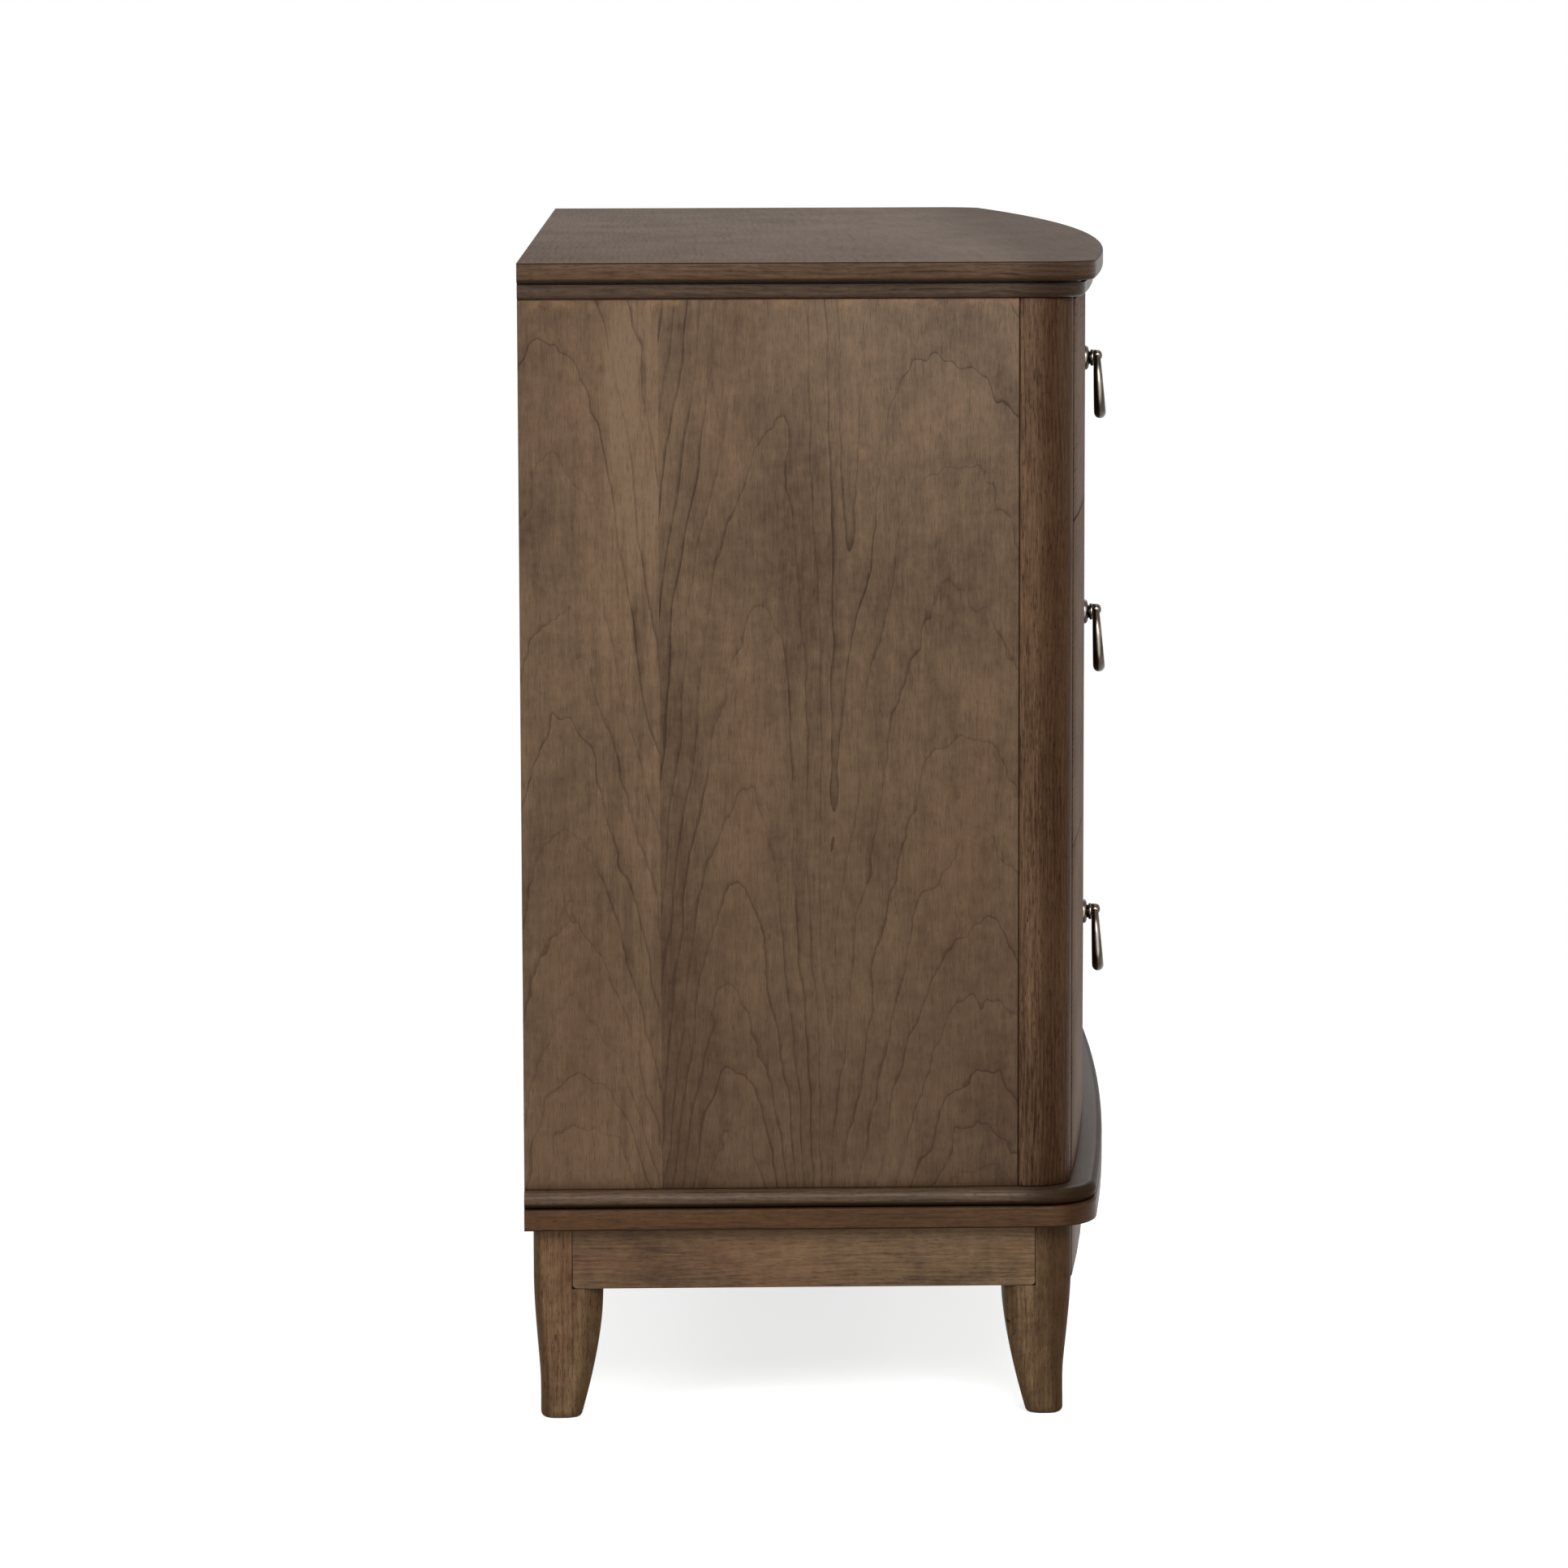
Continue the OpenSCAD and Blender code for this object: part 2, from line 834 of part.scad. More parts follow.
module drawer_bottom(row, side) {
  color(PLY_WOOD)
    placed()
      side_of(side)
        intersection() {
          bottom_groove(row, box_in + groove, box_out - groove, box_back, far, 0);
          translate([0, front_C, 0])
            cylinder(r = front_R - front_t + groove, h = height, $fn = bow_fn);
        }
}

// Puts its children on the drawer front, square to the bow, with y pointing out of the front
module pull_frame(row) {
  z = (FRONT_LO[row] + FRONT_HI[row]) / 2 + pull_rise - head_up;
  translate([0, front_C, z])
    rotate([0, 0, -pull_turn])
      translate([0, front_R, 0])
        children();
}

// Cast pull: a stepped rosette, a collar, a waisted neck and a barrel head with a domed end
module pull(row, side) {
  rim_h = 1;
  step_h = 2.2;
  step_in = 1.5;
  step_r = rosette_d / 2 - step_in;
  collar_y = 5.2;
  collar_face = 8;
  collar_r = 7.25;
  collar_ease = 0.6;
  throat_r = collar_r - step_in;
  head_l = 9.5;
  head_y = pivot_out - head_l / 2;
  dome = 3;
  color(PEWTER)
    placed()
      side_of(side)
        pull_frame(row)
          difference() {
            union() {
              rotate([-90, 0, 0])
                rotate_extrude()
                  difference() {
                    polygon([
                      [0, 0],
                      [rosette_d / 2, 0],
                      [rosette_d / 2, rim_h],
                      [step_r, step_h],
                      [throat_r, 2 * step_h],
                      [throat_r, collar_y],
                      [collar_r - collar_ease, collar_y],
                      [collar_r, collar_y + collar_ease],
                      [collar_r, collar_face - collar_ease],
                      [collar_r - collar_ease, collar_face],
                      [0, collar_face]
                    ]);
                    translate([0, -1])
                      square([pull_thread_d / 2, collar_y + 1]);
                  }
              translate([0, 0, head_up])
                rotate([-90, 0, 0])
                  translate([0, 0, head_y])
                    rotate_extrude()
                      difference() {
                        square([head_d / 2, head_l]);
                        translate([head_d / 2, head_l])
                          corner_waste(dome);
                      }
            }
            translate([0, pivot_out, head_up])
              rotate([0, 90, 0])
                cylinder(d = pin_d + 2 * bore_fit, h = 2 * head_d, center = true);
          }
}

// The ring is a drop-shaped loop of wire that thickens towards the bottom, with a pin across the head
ring_steps = 30;
ring_sides = 12;
head_gap = 1.2;
pin_half = head_d / 2 + head_gap;
ring_start = asin(pin_half / ring_half_w);
function wire_r(a) = (wire_top_d + (wire_bottom_d - wire_top_d) * (1 - cos(a)) / 2) / 2;
function loop_point(a) = [ring_half_w * sin(a), 0, ring_h / 2 * (cos(a) - 1)];
function loop_normal(a) =
  let (n = [ring_h / 2 * sin(a), 0, ring_half_w * cos(a)])
    n / norm(n);

module ring_wire() {
  angles = [for (k = [0:ring_steps]) ring_start + (360 - 2 * ring_start) * k / ring_steps];
  rings = [for (a = angles)
    [for (k = [0:ring_sides - 1])
      let (b = 360 * k / ring_sides)
        loop_point(a) + wire_r(a) * (cos(b) * loop_normal(a) + sin(b) * [0, 1, 0])]];
  n = ring_sides;
  m = len(rings);
  points = [for (ring = rings) each ring];
  walls = [for (j = [0:m - 2], k = [0:n - 1])
    let (a = j * n + k, b = j * n + (k + 1) % n)
      each [[a, b, a + n], [b, b + n, a + n]]];
  start_cap = [for (k = [1:n - 2]) [0, k + 1, k]];
  end_cap = [for (k = [1:n - 2]) [(m - 1) * n, (m - 1) * n + k, (m - 1) * n + k + 1]];
  polyhedron(points = points, faces = concat(walls, start_cap, end_cap));
}

module ring(row, side) {
  color(PEWTER)
    placed()
      side_of(side)
        pull_frame(row)
          translate([0, pivot_out, head_up])
            rotate([ring_tilt, 0, 0]) {
              ring_wire();
              rotate([0, 90, 0])
                cylinder(d = pin_d, h = 2 * pin_half + 2, center = true);
            }
}

top_panel();
sub_top();
side_panel("left");  // left_side_panel
side_panel("right");  // right_side_panel
corner_post("left");  // left_corner_post
corner_post("right");  // right_corner_post
centre_partition();
top_rails();
drawer_rails();
drawer_runners();
drawer_stops();
back_panel();
case_bottom();
base_board();
front_apron();
rear_apron();
side_apron("left");  // left_apron
side_apron("right");  // right_apron
leg("left", true);  // front_left_leg
leg("right", true);  // front_right_leg
leg("left", false);  // rear_left_leg
leg("right", false);  // rear_right_leg
corner_braces();
centre_leg();
for (row = [0:2], side = ["left", "right"]) {
  drawer_front(row, side);
  drawer_sides(row, side);
  drawer_back(row, side);
  drawer_bottom(row, side);
  pull(row, side);
  ring(row, side);
}
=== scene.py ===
"""A bow-front dresser: two columns of three drawers on sabre legs, seen from its left side."""

import math

import bmesh
import bpy
from mathutils import Matrix, Vector


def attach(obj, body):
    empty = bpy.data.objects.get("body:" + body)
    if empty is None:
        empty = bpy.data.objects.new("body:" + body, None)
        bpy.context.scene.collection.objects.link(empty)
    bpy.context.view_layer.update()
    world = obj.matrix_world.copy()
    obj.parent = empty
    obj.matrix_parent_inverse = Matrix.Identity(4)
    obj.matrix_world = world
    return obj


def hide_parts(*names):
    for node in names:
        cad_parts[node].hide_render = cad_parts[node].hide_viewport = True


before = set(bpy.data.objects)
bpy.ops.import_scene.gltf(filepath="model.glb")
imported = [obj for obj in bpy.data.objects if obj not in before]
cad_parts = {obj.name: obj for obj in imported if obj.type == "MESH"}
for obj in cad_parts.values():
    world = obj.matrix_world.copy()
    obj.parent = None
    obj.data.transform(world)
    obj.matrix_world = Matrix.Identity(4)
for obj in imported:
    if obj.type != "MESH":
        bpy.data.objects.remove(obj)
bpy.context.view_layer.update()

# The room. The dresser stands on pale paper in a white studio. The camera stands at its left side,
# a little above the top. A strong soft box lights that side, weaker ones the top and the other sides.
BACK = 0.26275
EYE = (-5.11657, BACK - 0.1163, 1.1248)
YAW, PITCH, ROLL = (math.radians(a) for a in (1.3396, 6.4297, -0.1634))

scene = bpy.context.scene
scene.view_settings.view_transform = "Standard"


def new_object(name, data):
    """A new object with this data, in the scene."""
    made = bpy.data.objects.new(name, data)
    scene.collection.objects.link(made)
    return made


lens = bpy.data.cameras.new("side_view")
lens.lens = 121.02
lens.sensor_width = 36
lens.shift_y = -0.08
camera = new_object("side_view", lens)
looking = Vector((math.cos(YAW) * math.cos(PITCH), -math.sin(YAW) * math.cos(PITCH), -math.sin(PITCH)))
upright = looking.to_track_quat("-Z", "Y").to_matrix().to_4x4()
camera.matrix_world = Matrix.Translation(EYE) @ upright @ Matrix.Rotation(ROLL, 4, "Z")
scene.camera = camera


def soft_box(name, width, height, place, target, power):
    """A rectangular soft light at place, turned to shine at target."""
    light = bpy.data.lights.new(name, "AREA")
    light.shape = "RECTANGLE"
    light.size, light.size_y = width, height
    light.energy = power
    lamp = new_object(name, light)
    lamp.location = place
    lamp.rotation_euler = (Vector(target) - Vector(place)).to_track_quat("-Z", "Y").to_euler()


soft_box("side_box", 1.8, 1.8, (-4.0, -0.6, 2.9), (-0.8, 0.0, 0.6), 82)
soft_box("rear_box", 2.0, 2.0, (-3.0, 3.2, 1.9), (-0.6, 0.1, 0.5), 44)
soft_box("top_box", 2.8, 1.8, (0.0, 0.0, 3.6), (0.0, 0.0, 0.9), 40)
soft_box("front_box", 2.4, 1.8, (-1.0, -4.3, 1.9), (0.0, 0.0, 0.5), 44)
soft_box("right_box", 2.2, 2.0, (3.2, -1.2, 3.4), (0.8, 0.0, 0.4), 42)


class Nodes:
    """Lays out a tree of nodes: every call adds a node and gives back its outputs."""

    def __init__(self, tree):
        self.tree = tree

    def feed(self, made, socket, value):
        """Links an output to a node's socket, or sets the socket to a value."""
        if isinstance(value, bpy.types.NodeSocket):
            self.tree.links.new(value, made.inputs[socket])
        else:
            made.inputs[socket].default_value = value

    def add(self, kind, *feeds, **settings):
        made = self.tree.nodes.new(kind)
        for key, value in settings.items():
            setattr(made, key, value)
        for socket, value in feeds:
            self.feed(made, socket, value)
        return made.outputs

    def node(self, kind, *feeds, **settings):
        return self.add("ShaderNode" + kind, *feeds, **settings)

    def maths(self, operation, *values):
        return self.node("Math", *enumerate(values), operation=operation)[0]

    def times(self, a, b):
        return self.maths("MULTIPLY", a, b)

    def times_plus(self, a, b, c):
        return self.maths("MULTIPLY_ADD", a, b, c)

    def minus(self, a, b):
        return self.maths("SUBTRACT", a, b)

    def over(self, a, b):
        return self.maths("DIVIDE", a, b)

    def passing(self, value, first, last):
        """0 before first, 1 after last, and a soft rise between them."""
        return self.node("MapRange", ("Value", value), ("From Min", first), ("From Max", last),
                         interpolation_type="SMOOTHSTEP")[0]

    def shown_white(self):
        """1 for the rays that show the background: straight, mirrored and through glass."""
        ray = self.node("LightPath")
        shown = self.maths("MAXIMUM", ray["Is Camera Ray"], ray["Is Glossy Ray"])
        return self.maths("MAXIMUM", shown, ray["Is Transmission Ray"])


WHITE = (1, 1, 1, 1)
PAPER_GREY = (0.82, 0.82, 0.82, 1)
PAPER_GLOW = (0.72, 0.72, 0.72, 1)
SHADOW_REACH = (0.9, 1.7)

world = bpy.data.worlds.new("studio")
scene.world = world
world.use_nodes = True
world.node_tree.nodes.clear()
studio = Nodes(world.node_tree)
room_light = studio.node("Background", ("Color", WHITE), ("Strength", 0.3))[0]
backdrop = studio.node("Background", ("Color", WHITE), ("Strength", 1))[0]
surroundings = studio.node("MixShader", (0, studio.shown_white()), (1, room_light), (2, backdrop))[0]
studio.node("OutputWorld", (0, surroundings))

paper_mesh = bpy.data.meshes.new("floor_paper")
paper_mesh.from_pydata([(-12, -12, 0), (12, -12, 0), (12, 12, 0), (-12, 12, 0)], [], [(0, 1, 2, 3)])
paper = bpy.data.materials.new("floor_paper")
paper.use_nodes = True
paper.node_tree.nodes.clear()
ground = Nodes(paper.node_tree)
matt = ground.node("BsdfDiffuse", ("Color", PAPER_GREY))[0]
glow = ground.node("Emission", ("Color", PAPER_GLOW))[0]
shaded = ground.node("AddShader", (0, matt), (1, glow))[0]
white = ground.node("Emission", ("Color", WHITE))[0]
away = ground.node("VectorMath", (0, ground.node("TexCoord")["Object"]), operation="LENGTH")["Value"]
seen = ground.node("MixShader", (0, ground.passing(away, *SHADOW_REACH)), (1, shaded), (2, white))[0]
either = ground.node("MixShader", (0, ground.shown_white()), (1, matt), (2, seen))[0]
ground.node("OutputMaterial", (0, either))
paper_mesh.materials.append(paper)
floor = new_object("floor_paper", paper_mesh)


# The top slab. One solid board with a bowed front and round front corners; its upper arris is eased
# and its lower edge rounded over. The grain runs along the dresser and, on the edge, round the corners.
HALF = 0.825
END_DEPTH = 0.470
BOW = 0.0545
CORNER = 0.046
SLAB_Z = 0.949
SLAB_T = 0.016


def bow_radius(half, bow):
    """The radius of an edge that bows out by bow over the width from -half to half."""
    return (half * half + bow * bow) / (2 * bow)


def bowed_outline(half, depth, bow, corner):
    """A bowed board's edge from the rear left to the rear right: places, ways out and distances."""
    radius = bow_radius(half, bow)
    centre = depth + bow - radius
    corner_x = half - corner
    corner_y = centre + math.sqrt((radius - corner) ** 2 - corner_x ** 2)
    seam = math.asin(corner_x / (radius - corner))
    side_steps = [0, corner_y - 0.002, corner_y]
    places = [(-half, forward, math.pi) for forward in side_steps]
    turn_steps = 18
    for k in range(1, turn_steps + 1):
        a = math.pi + (math.pi / 2 + seam - math.pi) * k / turn_steps
        places.append((-corner_x + corner * math.cos(a), corner_y + corner * math.sin(a), a))
    bow_steps = 40
    for k in range(1, bow_steps // 2 + 1):
        a = math.pi / 2 + seam * (1 - 2 * k / bow_steps)
        places.append((radius * math.cos(a), centre + radius * math.sin(a), a))
    places += [(-x, y, math.pi - a) for x, y, a in reversed(places[:-1])]
    outline = []
    along = 0
    for k, (x, y, a) in enumerate(places):
        if k:
            along += math.dist((x, y), places[k - 1][:2])
        outline.append((x, BACK - y, math.cos(a), -math.sin(a), along))
    return outline


def piece_of(data, name, angle=35):
    """A new object with this mesh, smooth but for edges sharper than the angle."""
    for face in data.polygons:
        face.use_smooth = True
    data.set_sharp_from_angle(angle=math.radians(angle))
    return new_object(name, data)


def piece_from(mesh, name, angle=35):
    """A new object from a bmesh, which is freed, with all faces turned outwards."""
    bmesh.ops.recalc_face_normals(mesh, faces=mesh.faces)
    data = bpy.data.meshes.new(name)
    mesh.to_mesh(data)
    mesh.free()
    return piece_of(data, name, angle)


def stands_for(piece, node, slot, body, *materials):
    """Gives a finished piece its materials and lets it stand for a CAD node, riding on a body."""
    for material in materials:
        piece.data.materials.append(material)
    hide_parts(node)
    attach(piece, body)


def swept_board(name, outline, z, profile):
    """A board whose edge follows the outline with this profile of (inset, height) from bottom to top."""
    mesh = bmesh.new()
    grain = mesh.loops.layers.uv.new("grain")
    walks = [0]
    for a, b in zip(profile, profile[1:]):
        walks.append(walks[-1] + math.dist(a, b))
    rows = [[mesh.verts.new((x - out_x * inset, y - out_y * inset, z + height))
             for inset, height in profile] for x, y, out_x, out_y, along in outline]
    stations = list(zip(rows, outline))
    for (row, here), (following, there) in zip(stations, stations[1:]):
        for j in range(len(profile) - 1):
            wall = mesh.faces.new((row[j], following[j], following[j + 1], row[j + 1]))
            spots = ((here[4], j), (there[4], j), (there[4], j + 1), (here[4], j + 1))
            for loop, (along, level) in zip(wall.loops, spots):
                loop[grain].uv = (along, walks[level])
    top_rim, under_rim = [row[-1] for row in rows], [row[0] for row in reversed(rows)]
    lids = [mesh.faces.new(rim) for rim in (top_rim, under_rim, rows[0] + rows[-1][::-1])]
    for lid, (u, v) in zip(lids, ((0, 1), (0, 1), (0, 2))):
        for loop in lid.loops:
            loop[grain].uv = (loop.vert.co[u] + 2, loop.vert.co[v] + 1)
    return piece_from(mesh, name)


def round_over(inset, height, radius, start, steps=5):
    """Points of a quarter round about (inset, height), from the start angle on."""
    angles = [math.radians(start + 90 * k / steps) for k in range(steps + 1)]
    return [(inset - radius * math.cos(a), height + radius * math.sin(a)) for a in angles]


def linear(red, green, blue):
    """A colour read off a screen, 0 to 255, as the linear colour that a shader takes."""
    parts = [c / 255 for c in (red, green, blue)]
    return tuple(c / 12.92 if c <= 0.04045 else ((c + 0.055) / 1.055) ** 2.4 for c in parts) + (1,)


class Finish(Nodes):
    """Lays out the nodes of one new material round its shader."""

    def __init__(self, name):
        self.material = bpy.data.materials.new(name)
        self.material.use_nodes = True
        super().__init__(self.material.node_tree)
        self.shader = self.tree.nodes["Principled BSDF"]

    def place(self, x, y, z=0.0):
        return self.node("CombineXYZ", (0, x), (1, y), (2, z))[0]

    def noise(self, place, scale, detail=2.0, roughness=0.5):
        return self.node("TexNoise", ("Vector", place), ("Scale", scale), ("Detail", detail),
                         ("Roughness", roughness))["Fac"]

    def steps(self, value, *stops):
        """A ramp through (position, height) stops."""
        ramp = self.tree.nodes.new("ShaderNodeValToRGB")
        points = ramp.color_ramp.elements
        while len(points) < len(stops):
            points.new(1)
        for point, (position, height) in zip(points, stops):
            point.position = position
            point.color = (height, height, height, 1)
        self.feed(ramp, 0, value)
        return ramp.outputs[0]

    def tint(self, share, under, over):
        return self.node("Mix", (0, share), (6, under), (7, over), data_type="RGBA")[2]

    def closed_in(self, reach, strength, most):
        """How far a spot is closed in by what lies within reach, times strength, most at most."""
        open_air = self.node("AmbientOcclusion", ("Distance", reach), samples=6)["AO"]
        closed = self.times(self.minus(1.0, open_air), strength)
        return self.maths("MINIMUM", closed, most)

    def relief(self, height, depth):
        """Sinks the surface where height is low, depth metres at most."""
        bump = self.node("Bump", ("Height", height), ("Distance", depth), ("Strength", 1.0))
        self.gives("Normal", bump[0])

    def gives(self, socket, value):
        self.feed(self.shader, socket, value)


FINE_LINE = 0.0023
SOFT_LINE = 0.013
HEARTS_MEET = 0.012


class Board(Finish):
    """The finish of one board, with the places along its fibre, across it and into its depth."""

    def __init__(self, name, ways):
        super().__init__(name)
        if ways == "UV":
            spot = self.node("SeparateXYZ", (0, self.node("TexCoord")["UV"]))
            self.u, self.v, self.w = spot[0], spot[1], 0.0
        else:
            spot = self.node("SeparateXYZ", (0, self.node("TexCoord")["Object"]))
            self.u, self.v, self.w = (spot["XYZ".index(axis)] for axis in ways)

    def along(self, stretch, scale, detail=2.0, roughness=0.5):
        """Noise drawn out along the fibre, stretch times as fine that way as across it."""
        drawn_out = self.place(self.times(self.u, stretch), self.v, self.w)
        return self.noise(drawn_out, scale, detail, roughness)

    def off_middle(self, value, share, onto):
        """The value onto, plus share times how far a noise lies from its middle."""
        return self.times_plus(self.minus(value, 0.5), share, onto)

    def chosen(self, first, second, share):
        """The first pair of values where share is 0 and the second where it is 1."""
        return tuple(self.times_plus(self.minus(b, a), share, a) for a, b in zip(first, second))

    def rings(self, heart, shaky, climb, slope):
        """The distance from the middle of the growth rings, and how fast it grows along the face."""
        across, lean, depth, rise, width = (*heart, 1.0)[:5]
        aside = self.over(self.minus(self.times_plus(self.u, -lean, shaky), across), width)
        rising = self.times_plus(climb, rise, depth)
        aside_squared = self.times(aside, aside)
        distance = self.maths("SQRT", self.times_plus(rising, rising, aside_squared))
        climb_part = self.times(self.times(rising, rise), slope)
        aside_part = self.over(aside_squared, width * width)
        steep = self.maths("SQRT", self.times_plus(climb_part, climb_part, aside_part))
        return distance, self.over(steep, distance)

    def late_wood(self, hearts, spacing, leaf, foot):
        """How much of the dark late wood a spot has, and 1 where it lies on the second leaf."""
        shaky = self.off_middle(self.along(0.35, 9.0, 1.0), 0.028, self.v)
        if foot is None:
            climb = self.off_middle(self.along(1.0, 4.0), 0.4, self.u)
            slope = 0.6
        else:
            shaky = self.off_middle(self.along(0.5, 30.0, 1.0), 0.008, shaky)
            wavy = self.off_middle(self.along(0.7, 40.0, 2.0), 0.055, self.u)
            climb = self.maths("SQRT", self.maths("MAXIMUM", self.minus(wavy, foot), 0.002))
            climb = self.off_middle(self.along(0.6, 7.0, 1.0), 0.1, climb)
            slope = self.over(0.5, self.maths("MAXIMUM", climb, 0.1))
        ring = self.rings(hearts[0], shaky, climb, slope)
        for heart in hearts[1:]:
            other = self.rings(heart, shaky, climb, slope)
            nearer = self.minus(ring[0], other[0])
            ring = self.chosen(ring, other, self.passing(nearer, -HEARTS_MEET, HEARTS_MEET))
        other_leaf = None
        if leaf:
            joint, heart = leaf
            other_leaf = self.maths("GREATER_THAN", self.v, joint)
            ring = self.chosen(ring, self.rings(heart, shaky, climb, slope), other_leaf)
        years = self.over(ring[0], spacing)
        years = self.off_middle(self.along(0.45, 34.0, 1.5), 0.5 if foot else 1.3, years)
        to_line = self.times(self.maths("FRACT", years), spacing)
        to_line = self.over(to_line, self.maths("MAXIMUM", ring[1], 0.05))
        year = self.maths("FLOOR", years)
        year = self.node("TexWhiteNoise", ("W", year), noise_dimensions="1D")["Value"]
        fine_line, soft_line = (self.maths("MAXIMUM", self.minus(1.0, self.over(to_line, line_w)), 0.0)
                                for line_w in (FINE_LINE, SOFT_LINE))
        soft, fine = self.maths("POWER", soft_line, 1.4), self.maths("POWER", fine_line, 0.8)
        late = self.times_plus(soft, 0.28, fine)
        late = self.times(late, self.times_plus(year, 0.6, 0.4))
        present = self.passing(self.along(0.5, 17.0, 1.0), 0.32, 0.56)
        return self.times(late, self.times_plus(present, 0.6, 0.4)), other_leaf


RED_PARTS = (112, 76, 54)
LOW_SHADE_BROWN = (86, 62, 42)
RUBBED_PALE = (144, 111, 80)


def wood(name, ways, colours, hearts, spacing, lines=0.5, pores=0.5, mottle=0.5, sheen=(0.36, 0.5),
         leaf=None, streak=0.5, gloss=0.2, glaze_and_crevice_shade=0.6, front_darkening=None, foot=None, blush=0.2, rub=None,
         marks=0.0, turned=(0.0, 0.0, 0.0), dents=()):
    """A stained wood. ways says where the fibre, the width and the depth lie: object axes, or "UV".
    colours are those of the early wood, the late wood and the pores. hearts are (place across at the
    floor, lean, depth, rise, width) of the middles of the growth rings, spacing the width of a year.
    leaf is (place of a veneer joint, heart of the leaf beyond it); the panel then also gets painted shade,
    darker and warmer towards its bottom. foot is the height from which arched rings rise.
    glaze_and_crevice_shade darkens the spots that nearby wood closes in, corners and gaps: partly a real
    glaze, partly painted shade. front_darkening is (first and last place on the Y axis, share) over which
    the wood turns darker and duller towards the front. rub is (first and last place along the fibre) of an
    edge rubbed pale. marks is how dark the few small pits are. turned is how much painted shade darkens
    and dulls the faces that turn to the front or rear, up and down. dents are (place along, place across,
    radius) of small dents on the left half."""
    f = Board(name, ways)
    light, dark, pore = (linear(*colour) for colour in colours)
    late, other_leaf = f.late_wood(hearts, spacing, leaf, foot)
    fibre = f.along(0.06, 900.0, 3.0, 0.6)
    dashes = f.along(0.11, 420.0, 2.0, 0.7)
    streaks = f.along(0.06, 120.0, 3.0, 0.6)
    cloud = f.along(0.5, 10.0, 2.5, 0.5)
    patch = f.along(0.8, 26.0, 2.5, 0.55)
    figure = f.along(1.1, 80.0, 3.0, 0.6)
    fleck = f.steps(f.along(0.09, 1500.0, 1.0, 0.4), (0.0, 1.0), (0.30, 1.0), (0.40, 0.0), (1.0, 0.0))
    shade = f.times(late, lines)
    for part_of, share in ((cloud, 1.6 * mottle), (patch, 0.7 * mottle), (figure, 0.95 * mottle),
                           (streaks, streak), (dashes, 1.4 * streak), (fibre, 0.8 * streak)):
        shade = f.off_middle(part_of, share, shade)
    shade = f.maths("ADD", shade, 0.4)
    if leaf:
        joint = leaf[0]
        first_leaf = f.minus(1.0, other_leaf)
        by_joint = f.times(f.passing(f.v, joint - 0.07, joint), first_leaf)
        shade = f.times_plus(by_joint, 0.06, shade)
        # Painted shade: the first leaf is drawn darker towards the bottom of the panel.
        painted_low_shade = f.passing(f.u, 0.75, 0.3)
        shade = f.times_plus(f.times(painted_low_shade, first_leaf), 0.1, shade)
        pale_side = f.times(f.passing(f.v, joint + 0.08, joint), other_leaf)
        shade = f.times_plus(pale_side, -0.2, shade)
        shade = f.times_plus(pale_side, f.times_plus(streaks, 1.1, -0.55), shade)
    shade = f.node("Clamp", ("Value", shade))[0]
    colour = f.tint(shade, light, dark)
    red_parts = f.times(f.passing(f.along(0.3, 8.0, 3.0, 0.6), 0.48, 0.7), blush)
    colour = f.tint(red_parts, colour, linear(*RED_PARTS))
    if leaf:
        # Painted shade: the lower part of the panel is tinted a warmer, darker brown.
        colour = f.tint(f.times(painted_low_shade, 0.25), colour, linear(*LOW_SHADE_BROWN))
    if rub:
        patchy = f.passing(f.along(1.0, 34.0, 4.0, 0.65), 0.42, 0.66)
        rubbed = f.times(f.passing(f.u, *rub), patchy)
        colour = f.tint(f.times(rubbed, 0.6), colour, linear(*RUBBED_PALE))
    # Darker and duller towards the front, between two places on the Y axis.
    if front_darkening:
        first, last, share = front_darkening
        place_y = f.node("SeparateXYZ", (0, f.node("TexCoord")["Object"]))[1]
        uneven = f.off_middle(streaks, 0.008, place_y)
        darkened_front = f.times(f.passing(uneven, first, last), share)
        colour = f.tint(darkened_front, colour, dark)
        gloss = f.times(f.minus(1.0, darkened_front), gloss)
    # Painted shade: faces that turn to the front or rear, up or down, are drawn darker and duller.
    if any(turned):
        facing = f.node("SeparateXYZ", (0, f.node("TexCoord")["Normal"]))
        sideways = f.passing(f.off_middle(cloud, 0.2, f.maths("ABSOLUTE", facing[1])), 0.12, 0.5)
        up, down = f.passing(facing[2], 0.15, 0.6), f.passing(facing[2], 0.0, -0.6)
        for turn, share in zip((sideways, up, down), turned):
            if share:
                facing_shade_part = f.times(turn, share)
                colour = f.tint(facing_shade_part, colour, dark)
                gloss = f.times(f.minus(1.0, facing_shade_part), gloss)
    colour = f.tint(f.times(fleck, pores), colour, pore)
    if marks:
        drawn_out = f.place(f.times(f.u, 0.3), f.v, f.w)
        pits = f.node("TexVoronoi", ("Vector", drawn_out), ("Scale", 8.0))
        pitted = f.steps(pits["Distance"], (0.0, 1.0), (0.012, 0.8), (0.03, 0.0), (1.0, 0.0))
        colour = f.tint(f.times(pitted, marks), colour, pore)
    for dent_u, dent_v, dent_r in dents:
        off_u, off_v = f.minus(f.u, dent_u), f.minus(f.v, dent_v)
        away = f.maths("SQRT", f.times_plus(off_u, off_u, f.times(off_v, off_v)))
        ragged = f.off_middle(f.along(1.0, 420.0), 2.4 * dent_r, away)
        left_half = f.maths("LESS_THAN", f.w, 0.0)
        dented = f.times(f.passing(ragged, dent_r, 0.5 * dent_r), left_half)
        colour = f.tint(f.times(dented, 0.85), colour, pore)
